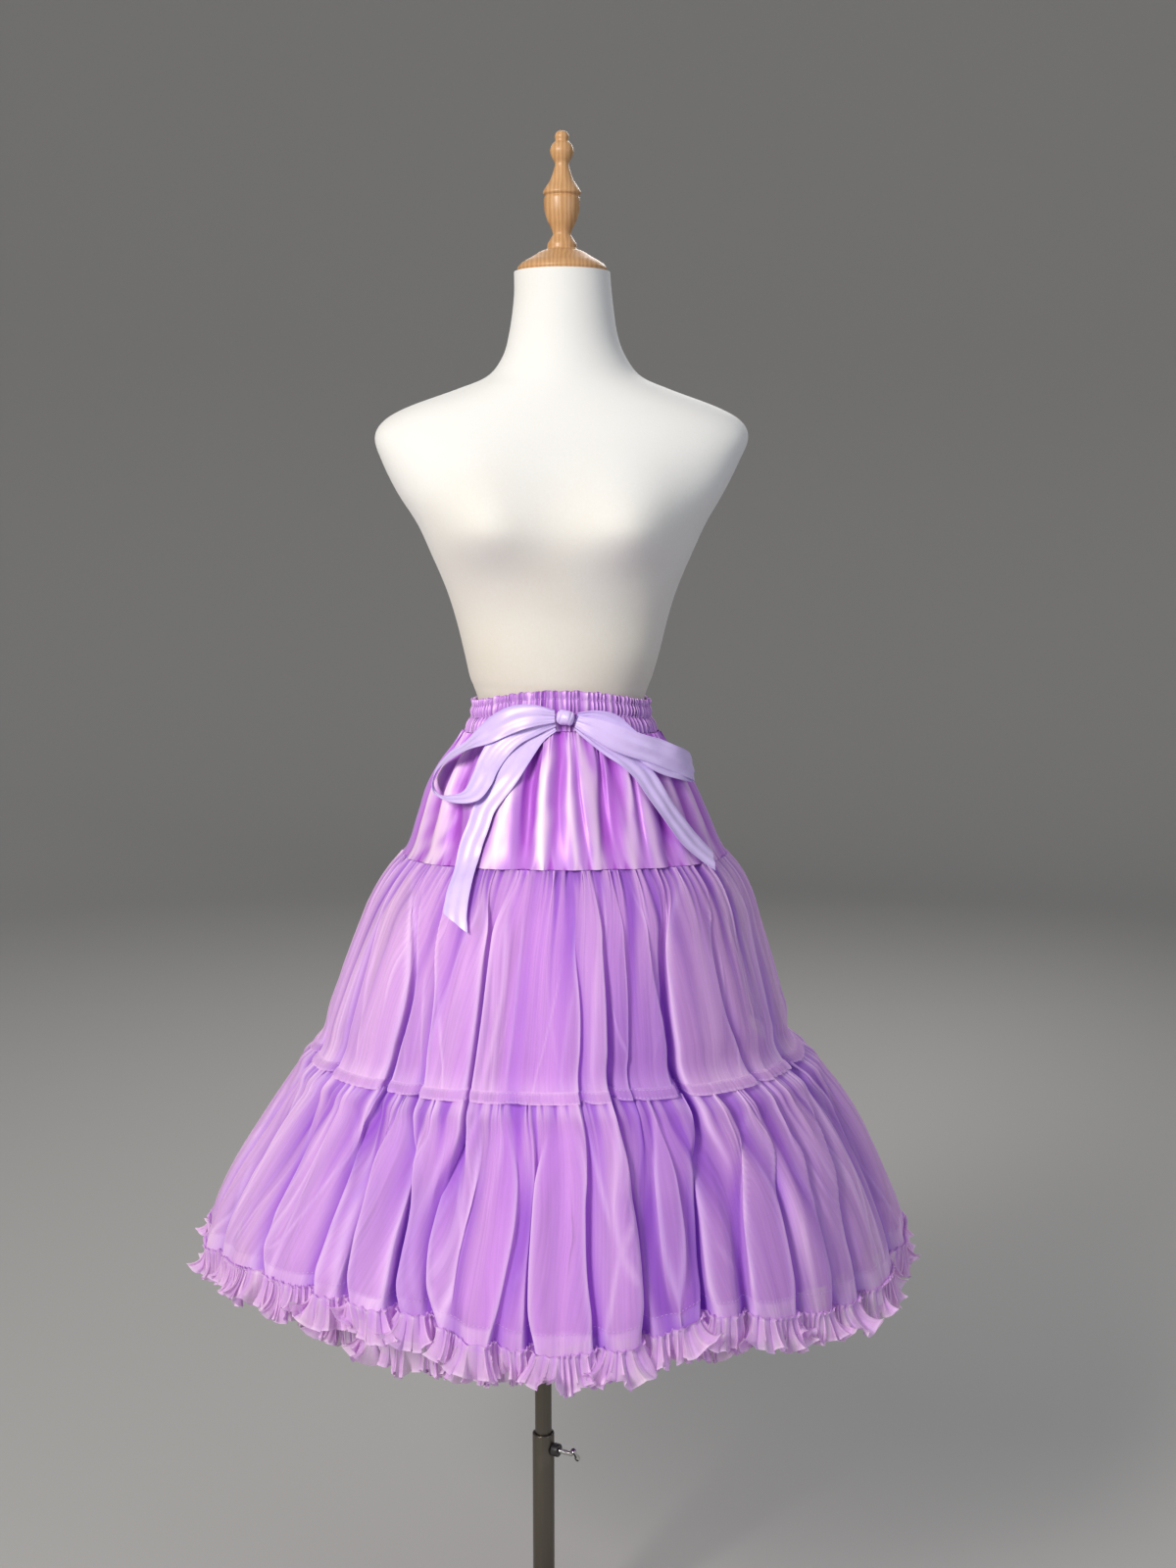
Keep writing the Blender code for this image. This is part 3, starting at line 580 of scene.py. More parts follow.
RIBBON_WIDTH = 0.027
# A tulle's deep colour stands for more layers and for painted shade inside its folds. Its edge colour is the
# doubled net's colour, and also the colour of the painted light.
SHEER = Tulle(
    "sheer_lilac_tulle", (0.97, 0.56, 1.0), (0.30, 0.07, 0.66), (1.0, 0.73, 1.0), 0.44, 0.94, 0.26
)
FRILLED = Tulle(
    "frilled_lilac_tulle", (1.0, 0.70, 1.0), (0.64, 0.29, 0.88), (1.0, 0.84, 1.0),
    0.58, 0.94, 0.30, net_depth=0.14, calm=0.35,
)
LINING = Tulle(
    "violet_lining_tulle", (0.74, 0.29, 1.0), (0.36, 0.07, 0.70), (0.78, 0.36, 0.98),
    1.0, 1.0, 0.10, net_depth=0.03, calm=0.5,
)
# A satin's crest colour is its painted highlight, and its deep colour is its painted shade.
YOKE_SATIN = Satin(
    "lilac_satin", (0.94, 0.70, 0.90), (0.58, 0.29, 0.755), (0.40, 0.085, 0.57), 0.44, 0.12
)
BAND_SATIN = Satin(
    "ruched_satin", (0.86, 0.62, 0.88), (0.60, 0.30, 0.74), (0.30, 0.08, 0.47), 0.46, 0.10
)
BOW_RIBBON = Ribbon("lavender_ribbon", (0.68, 0.54, 0.90), (0.50, 0.35, 0.77), RIBBON_WIDTH)
COVER_KNIT = Jersey("off_white_jersey", (0.755, 0.75, 0.73), (0.67, 0.615, 0.52))
TURNED_BEECH = Beech(
    "varnished_beech", (0.58, 0.335, 0.15), (0.42, 0.205, 0.08), (0.27, 0.11, 0.035)
)
POLE_STEEL = Metal(
    "satin_steel", (0.155, 0.138, 0.112), (0.28, 0.255, 0.22), 0.85, 0.34, (900, 900, 12), 0.42
)
BLACK_PAINT = Metal(
    "satin_black_paint", (0.022, 0.022, 0.023), (0.07, 0.07, 0.07), 0.0, 0.42, (500, 500, 500), coat=0.3
)
BRIGHT_PLATE = Metal(
    "bright_plate", (0.74, 0.73, 0.70), (0.60, 0.58, 0.55), 1.0, 0.16, (300, 300, 300)
)
SEWING_THREAD = Thread("lilac_thread", (0.70, 0.46, 0.82))


# ------------------------------------------------------------------ meshes
def smooth_between(value: Array | float, knots: Array, heights: Array) -> Array:
    """A cubic curve through knots that rise or fall in one direction.

    Args:
        value: where the curve is read.
        knots: the knots' places.
        heights: the curve's value at each.

    Returns:
        The curve's value, held level beyond the ends.
    """
    if knots[0] > knots[-1]:
        knots, heights = knots[::-1], heights[::-1]
    slopes = np.gradient(heights, knots)
    value = np.clip(value, knots[0], knots[-1])
    i = np.clip(np.searchsorted(knots, value) - 1, 0, len(knots) - 2)
    span = knots[i + 1] - knots[i]
    t = (value - knots[i]) / span
    return (
        (2 * t**3 - 3 * t**2 + 1) * heights[i]
        + (t**3 - 2 * t**2 + t) * span * slopes[i]
        + (3 * t**2 - 2 * t**3) * heights[i + 1]
        + (t**3 - t**2) * span * slopes[i + 1]
    )


def follow(value: Array | float, path: Table) -> Array:
    """A smooth curve through the pairs of a path."""
    return smooth_between(value, *np.array(path, float).T)


def stations(table: Table, count: int) -> Array:
    """More rows for a table, on smooth curves through its own.

    Args:
        table: the rows that are given.
        count: how many rows there are to be in all.

    Returns:
        The rows.
    """
    rows = np.array(table, float)
    knots = np.arange(len(rows), dtype=float)
    at = np.linspace(0, len(rows) - 1, count)
    return np.stack([smooth_between(at, knots, column) for column in rows.T], 1)


def ease(share: Array | float, start: float, end: float) -> Array:
    """0 before start, 1 after end, smooth between."""
    t = np.clip((share - start) / (end - start), 0, 1)
    return t * t * (3 - 2 * t)


def bell(distance: Array | float, width: float | Array) -> Array:
    """1 at no distance, dying out over a width."""
    return np.exp(-((distance / width) ** 2))


def away_from(angles: Array, middle: Array | float) -> Array:
    """How far angles are from a middle, the short way round."""
    return (angles - middle + 180) % 360 - 180


def ripple(angles: Array, seed: int, low: int, high: int) -> Array:
    """Seeded noise that closes round the skirt.

    Args:
        angles: in degrees.
        seed: picks the noise.
        low: its fewest waves round.
        high: its most.

    Returns:
        Noise of about -1 to 1.
    """
    draw = np.random.default_rng(seed)
    counts = np.unique(np.linspace(low, high, 9).round().astype(int))
    weights = draw.uniform(0.5, 1.0, len(counts))
    phases = draw.uniform(0, TURN, len(counts))
    turn = np.radians(angles)
    total = sum(w * np.cos(n * turn + p) for w, n, p in zip(weights, counts, phases))
    return total / (1.6 * np.sqrt((weights**2).sum() / 2))


def unit(vectors: Array) -> Array:
    """The same directions, of length 1."""
    return vectors / np.maximum(np.linalg.norm(vectors, axis=-1, keepdims=True), 1e-12)


def lengths_along(points: Array, axis: int) -> Array:
    """How far each point lies along its row or column.

    Args:
        points: a grid of points.
        axis: 0 down the columns, 1 along the rows.

    Returns:
        The distance from the first point.
    """
    steps = np.linalg.norm(np.diff(points, axis=axis), axis=-1)
    zero = np.zeros_like(np.take(steps, [0], axis=axis))
    return np.concatenate([zero, np.cumsum(steps, axis=axis)], axis=axis)


def flat_cloth(points: Array) -> Array:
    """Where each point of a hung cloth lies on the flat cut.

    Args:
        points: the cloth's grid of points.

    Returns:
        How far each lies across and along, in metres.
    """
    width = lengths_along(points, 1)[:, -1].max()
    across = np.linspace(0, width, points.shape[1])[None, :] + np.zeros(points.shape[:2])
    along = lengths_along(points, 0).mean(axis=1, keepdims=True) + np.zeros(points.shape[:2])
    return np.stack([across, along], axis=-1)


def link(name: str, data: bpy.types.ID) -> Piece:
    """Puts something in the scene as an object.

    Args:
        name: the object's name.
        data: a mesh, light or camera.

    Returns:
        The object.
    """
    made = bpy.data.objects.new(name, data)
    bpy.context.scene.collection.objects.link(made)
    return made


def grid_piece(
    name: str,
    points: Array,
    finish: Material,
    marks: Marks | None = None,
    cloth: Array | None = None,
    closed: bool = False,
) -> Piece:
    """A piece made of one grid of points.

    Args:
        name: the piece's name.
        points: rows of points, of shape (rows, columns, 3).
        finish: its material.
        marks: values for the points, by name.
        cloth: each point's place on the flat cloth.
        closed: whether each row runs back to its start.

    Returns:
        The new object.
    """
    rows, columns = points.shape[:2]
    steps = columns if closed else columns - 1
    r, c = np.meshgrid(np.arange(rows - 1), np.arange(steps), indexing="ij")
    d = (c + 1) % columns
    corners = [r * columns + c, (r + 1) * columns + c, (r + 1) * columns + d, r * columns + d]
    quads = np.stack(corners, -1).reshape(-1, 4)
    data = bpy.data.meshes.new(name)
    data.vertices.add(rows * columns)
    data.vertices.foreach_set("co", points.reshape(-1).astype(np.float32))
    data.loops.add(quads.size)
    data.loops.foreach_set("vertex_index", quads.reshape(-1).astype(np.int32))
    data.polygons.add(len(quads))
    data.polygons.foreach_set("loop_start", np.arange(0, quads.size, 4, dtype=np.int32))
    data.polygons.foreach_set("use_smooth", np.ones(len(quads), dtype=bool))
    data.update(calc_edges=True)
    for key, values in (marks or {}).items():
        kind, field = ("FLOAT_VECTOR", "vector") if key == "hang" else ("FLOAT", "value")
        shape = (rows, columns, 3) if key == "hang" else (rows, columns)
        values = np.broadcast_to(values, shape).reshape(-1).astype(np.float32)
        data.attributes.new(key, kind, "POINT").data.foreach_set(field, values)
    if cloth is not None:
        places = cloth.reshape(-1, 2)[quads.reshape(-1)].astype(np.float32)
        if closed:
            last = np.zeros((rows - 1, steps, 4), bool)
            last[:, -1, 2:] = True
            places[last.reshape(-1), 0] = cloth[..., 0].max() * columns / (columns - 1)
        data.uv_layers.new(name="cloth").data.foreach_set("uv", places.reshape(-1))
    data.materials.append(finish)
    data.validate()
    return link(name, data)


def lay_flat(piece: Piece, cloth: Array) -> None:
    """Gives each corner of a piece its point's place on the flat cloth.

    Args:
        piece: the piece.
        cloth: the points' places.
    """
    data = piece.data
    index = np.zeros(len(data.loops), np.int32)
    data.loops.foreach_get("vertex_index", index)
    places = cloth.reshape(-1, 2)[index].reshape(-1).astype(np.float32)
    data.uv_layers.new(name="cloth").data.foreach_set("uv", places)


@contextmanager
def reshaping(piece: Piece) -> Iterator[bmesh.types.BMesh]:
    """Opens a piece's mesh for changes, and turns its faces outwards at the end.

    Args:
        piece: the piece.

    Yields:
        The open mesh.
    """
    mesh = bmesh.new()
    mesh.from_mesh(piece.data)
    mesh.verts.ensure_lookup_table()
    yield mesh
    bmesh.ops.recalc_face_normals(mesh, faces=mesh.faces)
    mesh.to_mesh(piece.data)
    mesh.free()


def close_ends(piece: Piece, rows: int, columns: int, crisp: float = 50.0) -> None:
    """Closes the first and last row of a tube.

    Args:
        piece: the tube.
        rows: how many rows it has.
        columns: how many points a row has.
        crisp: edges above this angle, in degrees, stay sharp.
    """
    with reshaping(piece) as mesh:
        for start in (0, (rows - 1) * columns):
            mesh.faces.new([mesh.verts[start + i] for i in range(columns)]).smooth = True
        bmesh.ops.remove_doubles(mesh, verts=mesh.verts, dist=1e-7)
    piece.data.set_sharp_from_angle(angle=math.radians(crisp))


def triangles_of(piece: Piece) -> int:
    """How many triangles a piece has."""
    return sum(len(face.vertices) - 2 for face in piece.data.polygons)


# ------------------------------------------------------------------ geometry nodes
class Shape(Tree):
    """A Geometry Nodes tree that turns a piece's own mesh into its finished one."""

    def __init__(self, name: str, **sizes: str) -> None:
        """Makes the tree.

        Args:
            name: the tree's name.
            sizes: the socket types of its inputs, by name.
        """
        group = bpy.data.node_groups.new(name, "GeometryNodeTree")
        super().__init__(group)
        face = group.interface
        face.new_socket(name="Geometry", in_out="INPUT", socket_type="NodeSocketGeometry")
        self.keys = {}
        for key, kind in {**sizes, "Finish": "Material"}.items():
            made = face.new_socket(name=key, in_out="INPUT", socket_type=f"NodeSocket{kind}")
            self.keys[key] = made.identifier
        face.new_socket(name="Geometry", in_out="OUTPUT", socket_type="NodeSocketGeometry")
        self.entry = group.nodes.new("NodeGroupInput")
        self.exit = group.nodes.new("NodeGroupOutput")

    def given(self, name: str) -> Socket:
        """One of the tree's inputs."""
        return Socket(self, self.entry.outputs[name])

    def close(self, shape: Socket) -> "Shape":
        """Ends the tree with real geometry in its finish.

        Args:
            shape: the geometry.

        Returns:
            The tree.
        """
        real = self.node("GeometryNodeRealizeInstances", None, {"Geometry": shape})
        inputs = {"Geometry": real, "Material": self.given("Finish")}
        dressed = self.node("GeometryNodeSetMaterial", None, inputs)
        self.tree.links.new(dressed.output, self.exit.inputs[0])
        return self

    def run(self, seed: Piece, **values: object) -> Piece:
        """Runs the tree on a mesh and keeps the result as a plain mesh.

        Args:
            seed: the object whose mesh goes in, which is used up.
            values: the inputs, by name.

        Returns:
            The finished object, under the seed's name.
        """
        modifier = seed.modifiers.new("shape", "NODES")
        modifier.node_group = self.tree
        for key, value in values.items():
            modifier[self.keys[key]] = value
        bpy.context.view_layer.update()
        seen = seed.evaluated_get(bpy.context.evaluated_depsgraph_get())
        data = bpy.data.meshes.new_from_object(seen)
        seed.modifiers.remove(modifier)
        name = seed.name
        bpy.data.objects.remove(seed)
        return link(name, data)


def lathe_shape() -> Shape:
    """Makes the tree that turns a profile of radius and height round an upright axis.

    Returns:
        The tree.
    """
    s = Shape("turned_shape", Sides="Int", Centre="Vector")
    profile = {"Geometry": s.given("Geometry")}
    count = s.node("GeometryNodeAttributeDomainSize", {"component": "MESH"}, profile, "Point Count")
    sides = s.given("Sides")
    size = {"Size X": 1.0, "Size Y": 1.0, "Vertices X": sides + 1.0, "Vertices Y": count}
    sheet = s.node("GeometryNodeMeshGrid", None, size)
    index = s.node("GeometryNodeInputIndex") + 0.5
    place = s.node("GeometryNodeInputPosition")
    point = s.node(
        "GeometryNodeSampleIndex",
        {"data_type": "FLOAT_VECTOR", "domain": "POINT"},
        {**profile, "Value": place, "Index": (index % count).whole()},
    )
    radius, height = s.part(point, 0), s.part(point, 2)
    turn = (index / count).whole() * TURN / sides
    spots = {0: radius * turn.cosine(), 1: radius * turn.sine(), 2: height}
    spot = s.node("ShaderNodeCombineXYZ", None, spots)
    moved = s.node("ShaderNodeVectorMath", {"operation": "ADD"}, {0: spot, 1: s.given("Centre")})
    turned = s.node("GeometryNodeSetPosition", None, {"Geometry": sheet, "Position": moved})
    joined = s.node("GeometryNodeMergeByDistance", None, {"Geometry": turned, "Distance": 1e-6})
    return s.close(s.node("GeometryNodeSetShadeSmooth", None, {"Geometry": joined}))


def stitch_shape() -> Shape:
    """Makes the tree that lays stitches along the edges of a mesh.

    Returns:
        The tree.
    """
    s = Shape("stitch_row", Pitch="Float", Length="Float", Width="Float")
    line = s.node("GeometryNodeMeshToCurve", None, {"Mesh": s.given("Geometry")})
    steps = {"Curve": line, "Length": s.given("Pitch")}
    beads = s.node("GeometryNodeResampleCurve", {"mode": "LENGTH"}, steps)
    bead = s.node("GeometryNodeMeshUVSphere", None, {"Segments": 5, "Rings": 3, "Radius": 0.5})
    ahead = {"Vector": s.node("GeometryNodeInputTangent")}
    lie = s.node("FunctionNodeAlignRotationToVector", {"axis": "X"}, ahead)
    width = s.given("Width")
    size = s.node("ShaderNodeCombineXYZ", None, {0: s.given("Length"), 1: width, 2: width})
    inputs = {"Points": beads, "Instance": bead, "Rotation": lie, "Scale": size}
    return s.close(s.node("GeometryNodeInstanceOnPoints", None, inputs))


def polyline(name: str, chains: list[Array]) -> Piece:
    """A mesh of bare edges.

    Args:
        name: its name.
        chains: one array of points for each line.

    Returns:
        The new object.
    """
    points, edges = [], []
    for chain in chains:
        start = len(points)
        points += [tuple(p) for p in chain]
        edges += [(i, i + 1) for i in range(start, len(points) - 1)]
    data = bpy.data.meshes.new(name)
    data.from_pydata(points, edges, [])
    return link(name, data)


# ------------------------------------------------------------------ the skirt's outline
# Height, half width, half depth, centre across, and how much higher the front and back are.
SKIRT_LEVELS: Table = (
    (1.136, 0.0965, 0.0865, 0.022, 0.0170), (1.118, 0.0985, 0.0885, 0.022, 0.0115),
    (1.102, 0.1065, 0.0945, 0.022, 0.0090), (1.089, 0.1160, 0.1030, 0.022, 0.0088),
    (1.070, 0.1315, 0.1180, 0.022, 0.0086), (1.045, 0.1460, 0.1320, 0.022, 0.0084),
    (1.012, 0.1590, 0.1480, 0.024, 0.0084), (0.969, 0.1780, 0.1670, 0.026, 0.0090),
    (0.955, 0.1900, 0.1790, 0.026, 0.0095), (0.925, 0.2080, 0.1980, 0.024, 0.0100),
    (0.890, 0.2210, 0.2110, 0.021, 0.0110), (0.850, 0.2350, 0.2250, 0.019, 0.0120),
    (0.800, 0.2510, 0.2410, 0.017, 0.0130), (0.757, 0.2650, 0.2540, 0.016, 0.0140),
    (0.745, 0.2770, 0.2650, 0.018, 0.0120), (0.725, 0.2960, 0.2830, 0.021, 0.0090),
    (0.695, 0.3185, 0.3030, 0.022, 0.0060), (0.660, 0.3410, 0.3230, 0.021, 0.0030),
    (0.610, 0.3680, 0.3450, 0.017, 0.0000), (0.570, 0.3850, 0.3580, 0.015, 0.0000),
    (0.548, 0.3910, 0.3620, 0.015, 0.0000), (0.510, 0.3910, 0.3620, 0.015, 0.0000),
)
SKIRT_X = 0.022  # the waist's middle
WAIST_STITCH = 1.118
WAIST_LOW = 1.102
YOKE_LOW = 0.969
UPPER_LOW = 0.758
TAPE_LOW = 0.746
LOWER_LOW = 0.548
SWING_TOP = 0.700  # the hem's lifts and drops die out at this height
SEAM_GAP = 0.0003
SEAM_RADIUS = 0.25  # about how far the side seams lie from the axis


class Swing(Enum):
    """How far a hem is lifted or dropped round the skirt: degrees, metres."""

    OUTER = (
        (-180, 0.004), (-150, -0.004), (-120, 0.003), (-90, 0.0), (-72, 0.006), (-54, 0.024),
        (-38, 0.028), (-18, 0.022), (-6, 0.002), (8, 0.0), (16, 0.004), (25, 0.018), (36, 0.006),
        (48, -0.008), (64, -0.012), (90, 0.004), (118, -0.003), (150, 0.005), (180, 0.004),
    )
    UNDER = (
        (-180, 0.0), (-60, 0.0), (-36, -0.004), (-22, -0.014), (-8, -0.014), (6, -0.004),
        (40, 0.0), (180, 0.0),
    )


class Half(Enum):
    """A front or back panel and the angles between its side seams."""

    front = (-90.0, 90.0)
    back = (90.0, 270.0)


def skirt_points(
    angles: Array | float,
    height: Array | float,
    inset: Array | float = 0.0,
    swing: Swing = Swing.OUTER,
) -> Array:
    """Points of the skirt.

    Args:
        angles: in degrees from the front.
        height: levels of the outline.
        inset: how far they lie inside it.
        swing: the hem that they belong to.

    Returns:
        The points.
    """
    angles, height, inset = np.broadcast_arrays(angles, height, inset)
    levels, *columns = np.array(SKIRT_LEVELS).T
    half_width, half_depth, centre, lift = (smooth_between(height, levels, c) for c in columns)
    turn = np.radians(angles)
    rise = follow(away_from(angles, 0), swing.value)
    reach = np.clip((SWING_TOP - height) / (SWING_TOP - LOWER_LOW), 0, 1) ** 2
    x = centre + (half_width - inset) * np.sin(turn)
    y = -(half_depth - inset) * np.cos(turn)
    return np.stack([x, y, height + lift * np.cos(turn) ** 2 + reach * rise], axis=-1)


# ------------------------------------------------------------------ folds and gathers
@dataclass
class Drape:
    """How cloth leaves the outline: metres inwards and degrees along, its edges, and its valleys, where
    shade is painted.
    """

    inset: Array
    shift: Array
    edge: Array
    valley: Array

    def __add__(self, other: "Drape") -> "Drape":
        """Both drapes together.

        Args:
            other: the other drape.

        Returns:
            Their sum.
        """
        edge = np.maximum(self.edge, other.edge)
        valley = np.maximum(self.valley, other.valley)
        return Drape(self.inset + other.inset, self.shift + other.shift, edge, valley)

    def scaled(self, depth: Array | float, along: Array | float) -> "Drape":
        """The same drape, with its depth and its sideways part weakened."""
        return Drape(self.inset * depth, self.shift * along, self.edge * along, self.valley * depth)


@dataclass(frozen=True)
class Fold:
    """A valley laid along a given path, and how its neighbours lap over it.

    path holds (share down the tier, angle). left and right are the valley's half widths in
    degrees at the top and the bottom. over_right says how far the lobe on the left laps over
    the valley, over_left the lobe on the right.
    """

    path: Table
    depth: float
    left: tuple[float, float]
    right: tuple[float, float]
    over_right: float = 0.0
    over_left: float = 0.0
    square: float = 2.1

    def drape(self, angles: Array, share: Array, turned: float) -> Drape:
        """What this fold does.

        Args:
            angles: in degrees.
            share: how far down the tier.
            turned: how far the fold is turned round the skirt.

        Returns:
            Its drape.
        """
        away = away_from(angles, follow(share, self.path) + turned)
        left, right = (1.2 * (top + (low - top) * share) for top, low in (self.left, self.right))
        q = away / np.where(away < 0, left, right)  # -1 and 1 are the valley's two edges
        lap = 0.70 * self.over_right * bell(q + 1, 0.5) * left
        lap = lap - 0.70 * self.over_left * bell(q - 1, 0.5) * right
        rim = min(1.0, self.over_right) * bell(q + 1, 0.17)
        rim = rim + min(1.0, self.over_left) * bell(q - 1, 0.17)
        hollow = np.exp(-1.5 * np.abs(q) ** self.square)
        # The valley share is painted shade inside the fold, darker for deeper folds.
        return Drape(self.depth * hollow, lap, rim, hollow * min(1.0, 0.40 + self.depth / 0.022))


@dataclass(frozen=True)
class Recess:
    """A band of cloth between two paths that hangs behind its neighbours, in their shade."""

    left: Table
    right: Table
    depth: float
    shade: float
    soft: float = 1.6

    def drape(self, angles: Array, share: Array, turned: float) -> Drape:
        """What this recess does.

        Args:
            angles: in degrees.
            share: how far down the tier.
            turned: how far the recess is turned round the skirt.

        Returns:
            Its drape.
        """
        start, end = (follow(share, path) + turned for path in (self.left, self.right))
        away = np.abs(away_from(angles, (start + end) / 2))
        half = (end - start) / 2
        inside = 1 - ease(away, half - self.soft / 2, half + self.soft / 2)
        rim = 0.7 * bell(away - half - 0.3, 0.45)
        return Drape(self.depth * inside, 0 * inside, rim, self.shade * inside)


def lay_folds(folds: tuple[Fold | Recess, ...], angles: Array, share: Array) -> Drape:
    """All the folds of a tier, on its front and, turned half way round, on its back.

    Args:
        folds: the front's folds.
        angles: in degrees.
        share: how far down the tier.

    Returns:
        Their drape.
    """
    zero = np.zeros(np.broadcast_shapes(np.shape(angles), np.shape(share)))
    drapes = (fold.drape(angles, share, turned) for turned in (0.0, 180.0) for fold in folds)
    return sum(drapes, Drape(zero, zero, zero, zero))


@dataclass(frozen=True)
class Gather:
    """Small folds that start at a seam and die out below it."""

    count: int
    depth: float
    reach: float
    seed: int
    lean: float = 0.22
    jitter: float = 1.4

    def drape(self, angles: Array, below: Array) -> Drape:
        """What these gathers do.

        Args:
            angles: in degrees.
            below: how far from the seam, in metres.

        Returns:
            Their drape.
        """
        count, seed = self.count, self.seed
        phase = np.radians(angles) * count
        phase = phase + self.jitter * ripple(angles, seed, 2, max(2, count // 9))
        uneven = np.clip(0.75 + 0.45 * ripple(angles, seed + 1, 3, count // 3), 0.1, 1.5)
        long = np.clip(1 + 0.5 * ripple(angles, seed + 2, 5, count // 2), 0.4, 2)
        fade = uneven * np.exp(-below / (self.reach * long))
        wave = bell(np.sin(phase / 2), 0.42)
        crest = np.abs(np.sin(phase / 2)) ** 6
        lean = self.lean * fade * np.sin(phase) * 360.0 / count
        # The valley share is painted shade in each gather's hollow.
        return Drape(
            self.depth * fade * wave, lean, 0.35 * fade * crest, np.clip(1.6 * fade * wave, 0, 1)
        )


@dataclass(frozen=True)
class Creases:
    """Thin, slightly raised creases that wander down the cloth."""

    count: int
    seed: int
    height: float = 0.0012
    fade: float = 0.2

    def drape(self, angles: Array, share: Array) -> Drape:
        """What these creases do.

        Args:
            angles: in degrees.
            share: how far down the tier.

        Returns:
            Their drape.
        """
        draw = np.random.default_rng(self.seed)
        total = np.zeros(np.broadcast_shapes(np.shape(angles), np.shape(share)))
        for _ in range(self.count):
            start, drift, bend = draw.uniform(-180, 180), draw.normal(0, 5.0), draw.normal(0, 1.2)
            above, below = draw.uniform(-0.3, 0.5), draw.uniform(0.4, 1.0)
            width, strength = draw.uniform(0.22, 0.50), draw.uniform(0.2, 1.0)
            end = above + below
            seen = ease(share, above, above + self.fade) * (1 - ease(share, end, end + self.fade))
            away = away_from(angles, start + drift * share + bend * np.sin(4 * share))
            total = np.maximum(total, strength * seen * bell(away, width))
        zero = np.zeros_like(total)
        return Drape(-self.height * total, zero, 0.65 * total, zero)


def gathered(rows: tuple[Gather, ...], angles: Array, below: Array) -> Drape:
    """Several sizes of gather together.

    Args:
        rows: the gathers.
        angles: in degrees.
        below: how far from the seam, in metres.

    Returns:
        Their drape.
    """
    first, *others = (gather.drape(angles, below) for gather in rows)
    return sum(others, first)


YOKE_FOLDS = (
    Fold(((0, -80), (1, -77)), 0.006, (4.2, 4.2), (4.2, 4.2), square=2.0),
    Fold(((0, -66), (1, -60)), 0.007, (4.6, 4.6), (4.6, 4.6), square=2.0),
    Fold(((0, -51), (0.5, -49), (1, -42)), 0.011, (6.0, 5.6), (6.0, 5.6), 0.3, square=2.2),
    Fold(((0, -35), (1, -31)), 0.005, (3.4, 3.4), (3.4, 3.4), 0.0, 0.6, 2.0),
    Fold(((0, -12), (1, -14)), 0.011, (4.2, 4.6), (3.6, 3.8), 0.5, 0.5, 2.2),
    Fold(((0, 2), (0.5, -1), (1, -3)), 0.006, (2.6, 3.2), (2.6, 3.0), square=2.0),
    Fold(((0, 8), (0.5, 8), (1, 8)), 0.004, (2.0, 2.4), (2.0, 2.4), 0.0, 0.7, 2.0),
    Fold(((0, 21.5), (0.5, 17.6), (1, 16)), 0.010, (3.4, 3.8), (4.0, 4.0), 0.6, 0.3, 2.2),
    Fold(((0, 29.5), (0.58, 23), (1, 21)), 0.005, (2.8, 2.8), (2.8, 2.8), square=2.0),
    Fold(((0, 38.5), (0.6, 32), (1, 29)), 0.004, (2.6, 2.6), (2.6, 2.6), 0.0, 0.6, 2.0),
    Fold(((0, 46), (0.6, 44), (1, 41)), 0.009, (3.8, 4.0), (4.2, 4.2), 0.4, square=2.2),
    Fold(((0, 63), (1, 59)), 0.006, (4.4, 4.4), (4.4, 4.4), 0.3, square=2.0),
    Fold(((0, 79), (1, 76)), 0.006, (4.2, 4.2), (4.2, 4.2), square=2.0),
)
# Painted highlights, pale gleams down the satin's crests: path, half width in degrees, strength.
YOKE_GLEAMS = (
    (((0, -74), (1, -69)), 4.2, 0.9),
    (((0, -60), (1, -54)), 4.6, 1.0),
    (((0, -42), (1, -33)), 2.4, 0.5),
    (((0, -24), (0.3, -20.5), (0.7, -24.2), (1, -26)), 2.2, 1.0),
    (((0, -5), (1, -7.4)), 2.0, 1.0),
    (((0, 5), (0.44, 3.4), (1, 4.6)), 1.4, 0.7),
    (((0, 11), (0.44, 13), (1, 11.6)), 1.9, 0.75),
    (((0, 34.2), (0.6, 27.2), (1, 25)), 1.5, 0.65),
    (((0, 41), (0.6, 36.5), (1, 34)), 1.3, 0.45),
    (((0, 55), (1, 50)), 1.8, 0.5),
    (((0, 71), (1, 67)), 2.4, 0.45),
)
